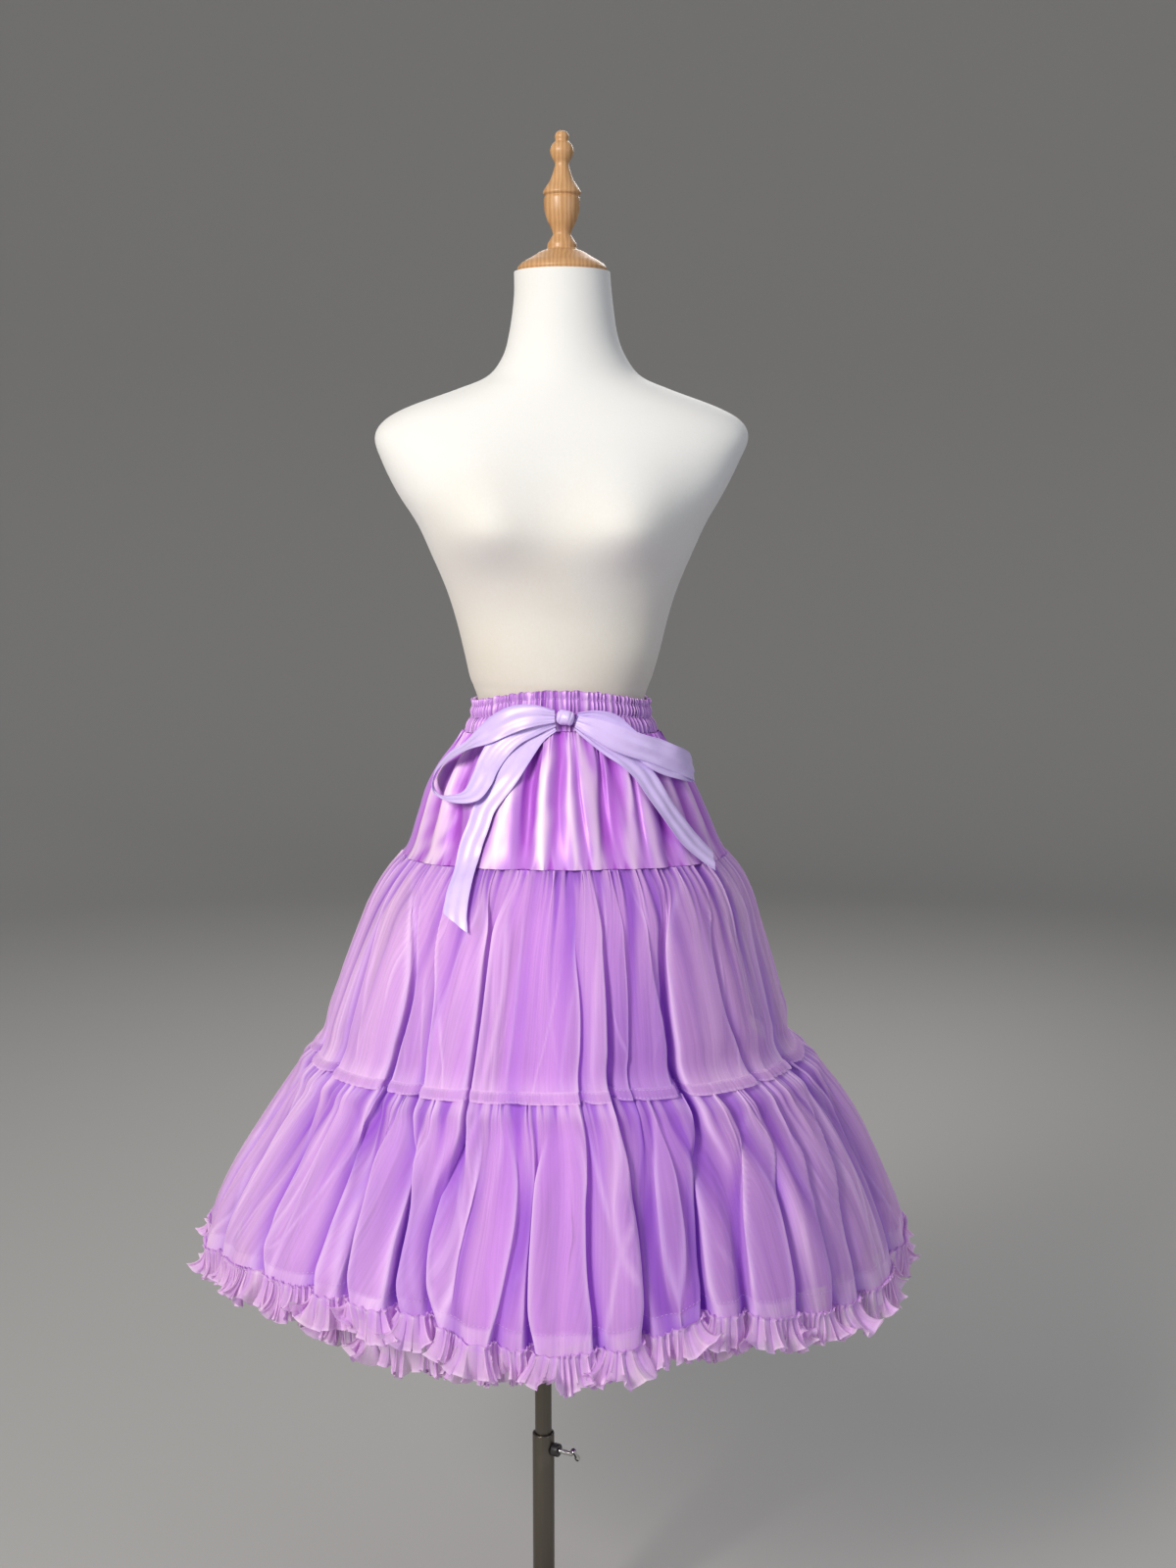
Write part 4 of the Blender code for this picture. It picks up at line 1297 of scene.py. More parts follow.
UPPER_FOLDS = (
    Fold(((0, -81), (1, -81)), 0.014, (3.6, 3.6), (3.6, 3.6), 0.5),
    Fold(((0, -69), (0.5, -63), (1, -61)), 0.015, (3.4, 3.4), (3.0, 2.8), 0.0, 0.9),
    Fold(((0, -55), (0.25, -46.5), (0.5, -41.5), (1, -41)), 0.022, (3.4, 2.8), (3.0, 2.4), 1.0, 0.7),
    Fold(((0, -41), (0.5, -32.8), (1, -30)), 0.011, (2.4, 2.0), (2.2, 1.9), 0.0, 1.2),
    Fold(((0, -20.5), (0.3, -19.2), (0.6, -18.6), (1, -18.6)), 0.031, (5.0, 2.2), (4.6, 1.9), 1.1, 1.2),
    Fold(((0, -8), (0.5, -8), (1, -8.5)), 0.004, (2.2, 2.2), (2.2, 2.2)),
    Fold(((0, 4.2), (0.35, 4.6), (0.65, 6.2), (1, 6)), 0.010, (1.8, 2.0), (1.6, 1.8), 1.1),
    Fold(((0, 11.6), (0.3, 12), (0.6, 12.6), (1, 12.4)), 0.020, (1.8, 1.9), (2.0, 2.2), 1.35),
    Fold(((0, 16.8), (0.5, 19), (1, 17.6)), 0.007, (1.4, 1.4), (1.6, 1.6), 1.1),
    Fold(((0, 21.6), (0.3, 24.4), (0.68, 27.2), (1, 28)), 0.007, (1.3, 1.3), (1.5, 1.2), 1.2),
    Fold(((0, 36), (0.17, 32.6), (0.33, 31), (0.6, 30.4), (1, 31)), 0.032, (3.6, 2.2), (4.0, 2.0), 0.6, 1.3),
    Fold(((0, 53), (0.27, 47.4), (0.61, 46.6), (1, 51)), 0.010, (1.8, 2.2), (2.2, 2.6), 1.1),
    Fold(((0, 73), (0.4, 71), (1, 70)), 0.014, (3.4, 3.4), (3.4, 3.4), 0.7),
    Recess(((0, 10), (1, 11.5)), ((0, 35), (0.3, 31), (1, 29.5)), 0.005, 0.54),
    Recess(((0, -25), (0.3, -22), (1, -20)), ((0, -14), (1, -16.8)), 0.004, 0.53),
    Recess(((0, -55), (0.5, -41), (1, -40)), ((0, -41), (0.5, -32.5), (1, -29.5)), 0.003, 0.22),
    Recess(((0, 60), (1, 57)), ((0, 68), (1, 65)), 0.003, 0.25),
)
LOWER_FOLDS = (
    Fold(((0, -84), (1, -83)), 0.018, (3.2, 3.2), (3.2, 3.2), 0.6),
    Fold(((0, -70), (0.5, -70), (1, -67)), 0.016, (3.0, 3.0), (2.8, 2.8), 0.0, 1.1),
    Fold(((0, -57), (0.3, -56.2), (0.57, -55), (1, -50.5)), 0.016, (2.6, 2.6), (2.4, 2.4), 0.0, 1.2),
    Fold(((0, -48.4), (0.23, -43.6), (0.61, -40.4), (1, -38.6)), 0.014, (2.2, 2.2), (2.1, 2.1), 0.0, 1.2),
    Fold(((0, -37.6), (0.4, -35.4), (1, -32)), 0.023, (2.2, 2.0), (2.0, 1.8), 0.8, 1.3),
    Fold(((0, -29.6), (0.28, -27.4), (0.68, -25.4), (1, -23.8)), 0.030, (2.2, 2.2), (1.8, 1.9), 1.0, 1.35),
    Fold(((0, -19.5), (0.4, -21.4), (1, -17.8)), 0.016, (1.8, 1.8), (1.6, 1.7), 0.5, 1.4),
    Fold(((0, -12.5), (0.5, -14.6), (1, -13.6)), 0.007, (1.5, 1.7), (1.4, 1.6), 1.2),
    Fold(((0, -7.4), (0.4, -6.6), (1, -8)), 0.011, (1.6, 1.7), (1.4, 1.6), 1.2),
    Fold(((0, -2.6), (0.36, -3.8), (0.7, -3.4), (1, -2.6)), 0.022, (1.9, 1.9), (1.6, 1.7), 0.8, 1.4),
    Fold(((0, 5.2), (0.5, 4.9), (1, 7)), 0.016, (1.8, 1.9), (1.6, 1.8), 1.3),
    Fold(((0, 11.6), (0.25, 12.6), (0.5, 13.8), (1, 14.2)), 0.028, (1.8, 2.0), (2.0, 2.0), 1.4, 0.6),
    Fold(((0, 17.6), (0.5, 17), (1, 18.2)), 0.010, (1.5, 1.6), (1.5, 1.6), 0.0, 1.1),
    Fold(((0, 22.4), (0.5, 21.8), (1, 21)), 0.008, (1.3, 1.3), (1.5, 1.4), 1.2),
    Fold(((0, 29), (0.29, 26.6), (0.66, 24.8), (1, 24.4)), 0.036, (2.8, 2.0), (3.2, 1.9), 1.2, 1.3),
    Fold(((0, 40), (0.35, 34.2), (1, 30.8)), 0.011, (1.8, 1.8), (1.8, 1.8), 0.0, 1.2),
    Fold(((0, 47.5), (0.35, 42.6), (1, 40.4)), 0.015, (1.9, 2.0), (2.0, 2.0), 1.3),
    Fold(((0, 56), (0.4, 50.4), (1, 48.6)), 0.018, (1.9, 2.0), (2.2, 2.2), 1.2),
    Fold(((0, 66), (0.38, 60), (0.67, 56), (1, 56)), 0.018, (2.2, 2.4), (2.4, 2.6), 1.3),
    Fold(((0, 79), (0.4, 74), (1, 73)), 0.017, (3.0, 3.0), (3.0, 3.0), 0.9),
    Recess(((0, 12.5), (0.5, 14), (1, 14.8)), ((0, 29), (0.5, 25.6), (1, 24.4)), 0.006, 0.42),
    Recess(((0, -31), (0.4, -27.6), (1, -24)), ((0, -17), (0.4, -20.5), (1, -17.4)), 0.005, 0.42),
    Recess(((0, -57), (0.5, -55.5), (1, -51)), ((0, -48), (0.5, -41), (1, -39)), 0.003, 0.22),
    Recess(((0, 41), (0.5, 33), (1, 31)), ((0, 47), (0.5, 41.4), (1, 40.4)), 0.003, 0.20),
)
UNDER_FOLDS = (
    Fold(((0, -76), (1, -74)), 0.012, (3.4, 3.8), (3.4, 3.8)),
    Fold(((0, -60), (1, -57)), 0.010, (3.0, 3.4), (3.0, 3.4), 0.8),
    Fold(((0, -45), (1, -46)), 0.013, (3.0, 3.2), (3.0, 3.2)),
    Fold(((0, -31), (1, -33)), 0.009, (2.4, 3.0), (2.4, 3.0), 0.0, 0.9),
    Fold(((0, -16), (1, -18)), 0.014, (2.6, 3.0), (2.6, 3.0), 0.6),
    Fold(((0, -6), (1, -5)), 0.008, (2.2, 2.6), (2.2, 2.6)),
    Fold(((0, 9), (1, 8)), 0.013, (2.6, 2.8), (2.6, 2.8), 0.0, 0.8),
    Fold(((0, 21), (1, 19)), 0.009, (2.4, 2.6), (2.4, 2.6)),
    Fold(((0, 36), (1, 33)), 0.014, (2.8, 3.0), (2.8, 3.0), 0.7),
    Fold(((0, 50), (1, 49)), 0.010, (2.8, 3.2), (2.8, 3.2)),
    Fold(((0, 66), (1, 64)), 0.013, (3.2, 3.4), (3.2, 3.4), 0.6),
    Fold(((0, 81), (1, 80)), 0.010, (3.2, 3.4), (3.2, 3.4)),
)


def seam_drape(angles: Array) -> Drape:
    """The upper tier's folds as they arrive at the tape."""
    return lay_folds(UPPER_FOLDS, angles, np.ones_like(angles))


def outward_at(angles: Array) -> Array:
    """Level directions away from the axis."""
    turn = np.radians(angles)
    return np.stack([np.sin(turn), -np.cos(turn), np.zeros_like(turn)], -1)


def facing(points: Array) -> Array:
    """Which way a grid of points faces, at each."""
    return unit(np.cross(np.gradient(points, axis=0), np.gradient(points, axis=1)))


def outline_normals(angles: Array, heights: Array) -> Array:
    """Which way the skirt's outline faces at some points.

    Args:
        angles: in degrees.
        heights: levels of the outline.

    Returns:
        Directions of length 1.
    """
    points = skirt_points(angles, heights)
    down = skirt_points(angles, heights - 0.004) - points
    along = skirt_points(angles + 0.5, heights) - points
    return unit(np.cross(down, along))


def cloth_marks(points: Array, angles: Array, heights: Array, drape: Drape, depth: float) -> Marks:
    """The values that the cloth finishes read.

    Args:
        points: the cloth's points.
        angles: where they lie round the skirt.
        heights: their levels of the outline.
        drape: how they were draped.
        depth: the inset that counts as fully inside a fold.

    Returns:
        "deep" inside a fold, where shade is painted, "crest" on one, where satin paints
        its highlight, "dense" where net is doubled or seen on edge and where light is
        painted on it in paler patches, and "hang", the outline's own normal, shorter
        where the cloth turns away from it.
    """
    normal = facing(points)
    steep = 1.0 - np.abs((normal * outward_at(angles + 0 * heights)).sum(-1))
    # deep: more layers and painted shade inside the folds
    deep = np.clip(0.40 * drape.inset / depth + 0.75 * drape.valley, 0, 1)
    side = 0.22 * ease(np.abs(np.sin(np.radians(angles))), 0.60, 0.95)
    flank = 0.62 * np.clip(steep - 0.18, 0, 1)
    # painted light: broad paler pools on the net, one left and one right of front, over uneven paler patches
    # all round
    round_front = (angles + 90) % 180 - 90
    whitening_and_painted_light = 0.13 * (1 + ripple(angles, 191, 5, 27))
    whitening_and_painted_light = whitening_and_painted_light + 0.26 * bell(round_front + 58, 30) + 0.18 * bell(round_front - 62, 24)
    dense = np.clip(flank + 0.75 * drape.edge + side + whitening_and_painted_light * (1 - deep), 0, 1)
    # crest: where satin paints its highlight, on crests that face outwards
    crest = np.clip(1.0 - 2.2 * deep, 0, 1) * np.clip(1.25 - steep, 0, 1)
    hang = outline_normals(angles + 0 * heights, heights + 0 * angles)
    alike = ease((hang * normal).sum(-1), 0.35, 0.95)
    return {"deep": deep, "dense": dense, "crest": crest, "hang": hang * alike[..., None]}


class Workroom:
    """The finishes and node trees that the pieces share."""

    def __init__(self) -> None:
        """Makes them all."""
        self.sheer = SHEER.make()
        self.frill = FRILLED.make()
        self.lining = LINING.make()
        self.yoke_satin = YOKE_SATIN.make()
        self.band_satin = BAND_SATIN.make()
        self.ribbon = BOW_RIBBON.make()
        self.jersey = COVER_KNIT.make()
        self.beech = TURNED_BEECH.make()
        self.steel = POLE_STEEL.make()
        self.black = BLACK_PAINT.make()
        self.bright = BRIGHT_PLATE.make()
        self.thread = SEWING_THREAD.make()
        self.lathe = lathe_shape()
        self.stitches = stitch_shape()

    def sew(self, name: str, chains: list[Array], pitch: float, width: float) -> Piece:
        """Rows of stitches.

        Args:
            name: the piece's name.
            chains: the rows' points.
            pitch: from one stitch to the next.
            width: the thread's width.

        Returns:
            The stitches.
        """
        sizes = {"Pitch": pitch, "Length": pitch * 0.72, "Width": width}
        made = self.stitches.run(polyline(name, chains), **sizes, Finish=self.thread)
        made.data.shade_smooth()
        return settle(made, "form", "tulle")

    def turn(
        self,
        name: str,
        profile: Array,
        finish: Material,
        sides: int,
        centre: tuple[float, float] = (0.0, 0.0),
        sharp: float = 32.0,
    ) -> Piece:
        """A closed piece turned from its profile.

        Args:
            name: the piece's name.
            profile: rows of radius and height.
            finish: its material.
            sides: how many steps there are in a turn.
            centre: the axis.
            sharp: edges above this angle, in degrees, stay crisp.

        Returns:
            The new object.
        """
        chain = np.stack([profile[:, 0], np.zeros(len(profile)), profile[:, 1]], axis=1)
        sizes = {"Sides": sides, "Centre": (*centre, 0.0)}
        made = self.lathe.run(polyline(name, [chain]), **sizes, Finish=finish)
        with reshaping(made) as mesh:
            bmesh.ops.remove_doubles(mesh, verts=mesh.verts, dist=1e-6)
            bmesh.ops.dissolve_degenerate(mesh, edges=mesh.edges, dist=1e-7)
        made.data.shade_smooth()
        made.data.set_sharp_from_angle(angle=math.radians(sharp))
        return made


def settle(piece: Piece, body: str, slot: str, *nodes: str) -> Piece:
    """Gives a piece its body and hides the solids that it stands for.

    Args:
        piece: the piece.
        body: the body that it moves with.
        slot: the record's material slot, which is not used.
        nodes: the nodes that it replaces.

    Returns:
        The piece.
    """
    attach(piece, body)
    if nodes:
        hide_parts(*nodes)
    log.info("%s: %d triangles", piece.name, triangles_of(piece))
    return piece


def declare(
    piece: Piece,
    flat: tuple[float, float],
) -> None:
    """Logs the cut of a piece that is a sheet of cloth.

    Args:
        piece: the cloth.
        flat: the cut's width and length.
    """
    log.info("%s: cut %.4f x %.4f m", piece.name, *flat)


def cut_of(points: Array, layers: int = 1) -> tuple[float, float]:
    """The cut of a hung cloth: its rows' and its columns' mean lengths.

    Args:
        points: its grid of points.
        layers: how many times the cloth lies over itself across.

    Returns:
        The width and length, in metres.
    """
    width = float(lengths_along(points, 1)[:, -1].mean()) * layers
    return round(width, 3), round(float(lengths_along(points, 0)[-1].mean()), 3)


# ------------------------------------------------------------------ the garment
@dataclass
class Waistband:
    """The elasticated casing: two ruched channels under a narrow frilled edge."""

    ruches: int = 104
    columns: int = 1248
    depth: float = 0.0030
    wall: float = 0.0009
    turned_in: float = 0.0006  # how much further in the inner skin lies under the frilled edge
    stitching: Table = ((1.1180, 0.0005), (1.1300, 0.0))  # height, inset
    stitch: tuple[float, float] = (0.0032, 0.0006)  # pitch, width
    seam_points: int = 721
    # Height, puff outwards, share of the ruching, share of the frilled edge.
    levels: Table = (
        (1.1022, -0.0012, 0.60, 0.0), (1.1045, -0.0004, 0.80, 0.0), (1.1080, 0.0010, 1.00, 0.0),
        (1.1115, 0.0016, 1.00, 0.0), (1.1148, 0.0010, 0.85, 0.0), (1.1171, -0.0004, 0.55, 0.0),
        (1.1180, -0.0008, 0.45, 0.0), (1.1189, -0.0004, 0.55, 0.0), (1.1210, 0.0010, 0.85, 0.0),
        (1.1240, 0.0017, 1.00, 0.0), (1.1268, 0.0012, 0.90, 0.0), (1.1290, 0.0001, 0.55, 0.0),
        (1.1298, -0.0003, 0.45, 0.0), (1.1306, 0.0001, 0.60, 0.3), (1.1330, 0.0008, 1.00, 0.8),
        (1.1352, 0.0008, 1.20, 1.0), (1.1363, 0.0001, 1.10, 1.0),
    )

    def skins(self) -> tuple[Array, Marks]:
        """Shapes the casing, up its inside and down its outside.

        Returns:
            Its points and marks.
        """
        angles = np.arange(self.columns) * 360.0 / self.columns
        outer, deep, crest = [], [], []
        for height, puff, ruche, frill in self.levels:
            seed = 31 if height < WAIST_STITCH else 32
            phase = np.radians(angles) * self.ruches + 3.0 * ripple(angles, seed, 2, 24)
            phase = phase + 1.3 * (height - WAIST_STITCH) / 0.018 * ripple(angles, 35, 9, 40)
            wave = 1 - np.abs(np.sin(phase / 2)) ** 0.85
            size = np.clip(0.9 + 0.45 * ripple(angles, seed + 4, 6, 50), 0.35, 1.5)
            lean = 0.20 * np.sin(phase) * 360 / self.ruches * size
            inset = ruche * self.depth * wave * size - puff * (0.8 + 0.3 * size)
            inset = inset + frill * 0.0007 * ripple(angles, 41, 30, 60)
            lift = frill * 0.0008 * ripple(angles, 42, 20, 70)
            outer.append(skirt_points(angles + lean, height, inset) + lift[:, None] * (0, 0, 1))
            # painted shade in the ruches' hollows and painted highlight on their crests
            deep.append(wave * size)
            crest.append(np.clip(0.9 - 2.0 * wave, 0, 1) * np.clip(0.4 + size * 0.5, 0, 1))
        outer, deep, crest = np.array(outer), np.array(deep), np.array(crest)
        walls = np.full(len(outer), self.wall + self.turned_in)
        walls[-1] = self.wall
        away = unit((outer - (SKIRT_X, 0, 0)) * (1, 1, 0))
        inner = outer - away * walls[:, None, None] - (0, 0, 0.0002)
        deep = np.concatenate([0.3 * deep, deep[::-1]]) * 0.8
        crest = np.concatenate([np.full_like(crest, 0.5), crest[::-1]]) * 0.75
        return np.concatenate([inner, outer[::-1]]), {"deep": deep, "crest": crest}

    def build(self, room: Workroom) -> None:
        """Makes the casing and its stitching.

        Args:
            room: the shared finishes.
        """
        rows, marks = self.skins()
        made = grid_piece(
            "waistband_casing", rows, room.band_satin, marks, flat_cloth(rows), closed=True
        )
        turn_outwards(made)
        settle(made, "form", "satin", "waistband")
        angles = np.linspace(0, 360, self.seam_points)
        seams = [skirt_points(angles, height, inset) for height, inset in self.stitching]
        thread = room.sew("waistband_stitching", seams, *self.stitch)
        inner = rows[: len(self.levels)]
        declare(made, cut_of(inner, layers=2))


def turn_outwards(piece: Piece) -> None:
    """Turns a tube's faces over if its outermost one looks towards the waist's middle.

    Args:
        piece: the tube.
    """
    level = Vector((1, 1, 0))
    far, face = max(
        (((f.center - Vector((SKIRT_X, 0, 0))) * level, f) for f in piece.data.polygons),
        key=lambda pair: pair[0].length,
    )
    if face.normal.dot(far) < 0:
        piece.data.flip_normals()


@dataclass
class Tier:
    """A tier of cloth: a front and a back panel that meet at the side seams."""

    name: str
    node: str
    finish: str
    top: float
    low: float
    columns: int
    rows: int
    carriers: tuple[str, ...]
    folded: float = 0.032  # the inset that counts as fully inside a fold
    tuck: float = 0.0  # how far it runs up behind its carrier
    proud: float = 0.0
    slot: str = "tulle"
    held: str = "gathered"
    folds: tuple[Fold | Recess, ...] = ()
    gathers: tuple[Gather, ...] = ()
    swing: Swing = Swing.OUTER

    def angles(self, half: Half) -> Array:
        """Where a panel's columns lie.

        Args:
            half: front or back.

        Returns:
            Their angles in degrees, as one row.
        """
        start, end = half.value
        margin = math.degrees(SEAM_GAP / SEAM_RADIUS)
        return np.linspace(start + margin, end - margin, self.columns)[None, :]

    def heights(self) -> Array:
        """Where a panel's rows lie, closer together near the two seams.

        Returns:
            Their levels, as one column.
        """
        share = np.linspace(0, 1, self.rows)
        share = share - 0.09 * np.sin(TURN * share)
        top, low = self.top + self.tuck - SEAM_GAP / 2, self.low + SEAM_GAP / 2
        return (top + (low - top) * share)[:, None]

    def share(self, heights: Array) -> Array:
        """How far down the tier some levels are."""
        return np.clip((self.top - heights) / (self.top - self.low), 0, 1)

    def drape(self, angles: Array, heights: Array) -> Drape:
        """How the cloth hangs.

        Args:
            angles: in degrees.
            heights: levels of the outline.

        Returns:
            Its drape.
        """
        raise NotImplementedError

    def surface(self, angles: Array, heights: Array, out: float = 0.0) -> tuple[Array, Drape]:
        """The cloth's points and drape.

        Args:
            angles: in degrees.
            heights: levels of the outline.
            out: how far they lie outside the cloth.

        Returns:
            The points and the drape.
        """
        drape = self.drape(angles, heights)
        inset = drape.inset - self.proud - out
        return skirt_points(angles + drape.shift, heights, inset, self.swing), drape

    def hem(self, angles: Array) -> Array:
        """The lower edge's points at some angles."""
        return self.surface(angles, np.full_like(angles, self.low + SEAM_GAP / 2))[0]

    def dress(self, marks: Marks, angles: Array, heights: Array) -> None:
        """Changes the marks that the finish reads, where this tier has its own.

        Args:
            marks: the values by name.
            angles: in degrees.
            heights: levels of the outline.
        """

    def sew(self, room: Workroom, half: Half) -> list[Piece]:
        """The stitching on a panel, where there is some."""
        return []

    def panel(self, room: Workroom, half: Half) -> tuple[Piece, Array]:
        """Makes one panel.

        Args:
            room: the shared finishes.
            half: front or back.

        Returns:
            The panel and its grid of points.
        """
        angles, heights = self.angles(half), self.heights()
        points, drape = self.surface(angles, heights)
        marks = cloth_marks(points, angles, heights, drape, self.folded)
        self.dress(marks, angles, heights)
        finish = getattr(room, self.finish)
        made = grid_piece(f"{self.name}_{half.name}", points, finish, marks, flat_cloth(points))
        return settle(made, "form", self.slot, f"{self.node}_{half.name}"), points

    def build(self, room: Workroom) -> None:
        """Makes both panels and what is sewn on them.

        Args:
            room: the shared finishes.
        """
        for half in Half:
            made, points = self.panel(room, half)
            threads = self.sew(room, half)
            declare(made, cut_of(points))


@dataclass
class Yoke(Tier):
    """The gathered satin yoke, with painted highlights, pale gleams, down its crests."""

    name: str = "yoke_panel"
    node: str = "yoke"
    finish: str = "yoke_satin"
    top: float = WAIST_LOW
    low: float = YOKE_LOW
    columns: int = 520
    rows: int = 40
    carriers: tuple[str, ...] = ("waistband",)
    folded: float = 0.010
    slot: str = "satin"
    folds: tuple[Fold, ...] = YOKE_FOLDS
    gathers: tuple[Gather, ...] = (
        Gather(104, 0.0024, 0.013, 51, 0.22),
        Gather(56, 0.0040, 0.030, 54, 0.24),
        Gather(27, 0.0040, 0.080, 57, 0.14),
    )
    hem_gather: Gather = Gather(74, 0.0010, 0.008, 61, 0.10)
    top_puff: float = 0.0026

    def drape(self, angles: Array, heights: Array) -> Drape:
        """How the satin hangs.

        Args:
            angles: in degrees.
            heights: levels of the outline.

        Returns:
            Its drape.
        """
        share = self.share(heights)
        strength = 0.30 + 0.70 * ease(share, 0.0, 0.35) - 0.50 * ease(share, 0.62, 1.0)
        folds = lay_folds(self.folds, angles, share + 0 * angles)
        small = gathered(self.gathers, angles, self.top - heights)
        low = self.hem_gather.drape(angles, heights - self.low)
        drape = folds.scaled(strength, 0.7 * strength) + small + low
        drape.inset = drape.inset - self.top_puff * np.exp(-(self.top - heights) / 0.016)
        return drape

    def dress(self, marks: Marks, angles: Array, heights: Array) -> None:
        """Paints the gleams, pale highlights down the satin's crests.

        Args:
            marks: the values by name.
            angles: in degrees.
            heights: levels of the outline.
        """
        share = self.share(heights)
        uneven = 1 + 0.35 * ripple(angles * 3 + 200 * share, 63, 2, 9)
        gleam = np.zeros_like(uneven)
        for path, width, strength in YOKE_GLEAMS:
            middle = np.interp(share, *np.array(path, float).T)
            for turned in (0.0, 180.0):
                line = bell(away_from(angles, middle + turned), width * uneven)
                gleam = np.maximum(gleam, strength * line)
        gleam = gleam * (0.75 + 0.25 * ease(share, 0.0, 0.3))
        marks["crest"] = gleam * (1 - 0.5 * marks["deep"])


@dataclass
class UpperTier(Tier):
    """The upper tier of sheer tulle, gathered into the yoke."""

    name: str = "upper_tulle"
    node: str = "upper_tier"
    finish: str = "sheer"
    top: float = YOKE_LOW
    low: float = UPPER_LOW
    columns: int = 900
    rows: int = 44
    carriers: tuple[str, ...] = ("yoke_front", "yoke_back")
    proud: float = 0.001
    folds: tuple[Fold | Recess, ...] = UPPER_FOLDS
    gathers: tuple[Gather, ...] = (
        Gather(178, 0.0034, 0.014, 71, 0.10),
        Gather(83, 0.0052, 0.034, 74, 0.14),
        Gather(41, 0.0062, 0.100, 77, 0.12),
    )
    creases: Creases = Creases(130, 85)
    soft_depth: float = 0.0022

    def drape(self, angles: Array, heights: Array) -> Drape:
        """How the tulle hangs: soft waves between its folds die out at the tape.

        Args:
            angles: in degrees.
            heights: levels of the outline.

        Returns:
            Its drape.
        """
        share = self.share(heights)
        strength = 0.12 + 0.88 * ease(share, 0.0, 0.85)
        folds = lay_folds(self.folds, angles, share + 0 * angles)
        small = gathered(self.gathers, angles, self.top - heights)
        soft = self.soft_depth * ease(share, 0.1, 0.5) * (1 - ease(share, 0.88, 1.0))
        soft = soft * (1 + ripple(angles + 9 * share, 81, 9, 46)) / 2
        drape = folds.scaled(strength, ease(share, 0.0, 0.30)) + small
        drape = drape + self.creases.drape(angles, share)
        drape.inset = drape.inset + soft
        return drape

    def dress(self, marks: Marks, angles: Array, heights: Array) -> None:
        """Thickens the net just over the tape.

        Args:
            marks: the values by name.
            angles: in degrees.
            heights: levels of the outline.
        """
        near = 0.3 * bell(heights - self.low, 0.010)
        marks["dense"] = np.clip(marks["dense"] + near, 0, 1)


@dataclass
class SeamTape(Tier):
    """The narrow doubled tape over the seam between the tiers, with a row of stitches at each edge."""

    name: str = "tier_tape"
    node: str = "seam_tape"
    finish: str = "sheer"
    top: float = UPPER_LOW + 0.0006
    low: float = TAPE_LOW + 0.0036
    columns: int = 900
    rows: int = 10
    carriers: tuple[str, ...] = ("upper_tier_{half}",)
    held: str = "hung"
    proud: float = 0.0016
    crown: float = 0.0020
    top_tuck: float = 0.0017
    pucker: Gather = Gather(150, 0.0016, 1.0, 94, 0.20)
    stitch: tuple[float, float] = (0.0042, 0.0006)  # pitch, width

    def heights(self) -> Array:
        """The rows' levels, evenly spaced."""
        return np.linspace(self.top, self.low, self.rows)[:, None]

    def surface(self, angles: Array, heights: Array, out: float = 0.0) -> tuple[Array, Drape]:
        """The tape's points, and the drape of the tier that it follows.

        Args:
            angles: in degrees.
            heights: levels of the outline.
            out: how far they lie outside the tape.

        Returns:
            The points and the drape.
        """
        drape = seam_drape(angles + 0 * heights)
        share = self.share(heights)
        crown = self.crown * np.sin(np.pi * np.clip(0.08 + 0.84 * share, 0, 1))
        small = self.pucker.drape(angles + 0 * heights, 0 * heights)
        inset = drape.inset - self.proud - crown - out
        inset = inset + small.inset * (0.35 + 0.65 * np.abs(2 * share - 1))
        inset = inset + self.top_tuck * ease(share, 0.12, 0.0)
        return skirt_points(angles + drape.shift, heights, inset), drape

    def dress(self, marks: Marks, angles: Array, heights: Array) -> None:
        """Thickens the tape, and its two rims most.

        Args:
            marks: the values by name.
            angles: in degrees.
            heights: levels of the outline.
        """
        rim = np.abs(2 * self.share(heights) - 1) ** 4
        marks["dense"] = np.clip(0.22 + 0.4 * marks["dense"] + 0.4 * rim, 0, 1)

    def sew(self, room: Workroom, half: Half) -> list[Piece]:
        """Sews the two rows of stitches.

        Args:
            room: the shared finishes.
            half: front or back.

        Returns:
            The stitches.
        """
        levels = (self.top - 0.0016, self.low + 0.0015)
        rows = [self.surface(self.angles(half), np.array([[z]]))[0][0] for z in levels]
        return [room.sew(f"tape_stitching_{half.name}", rows, *self.stitch)]


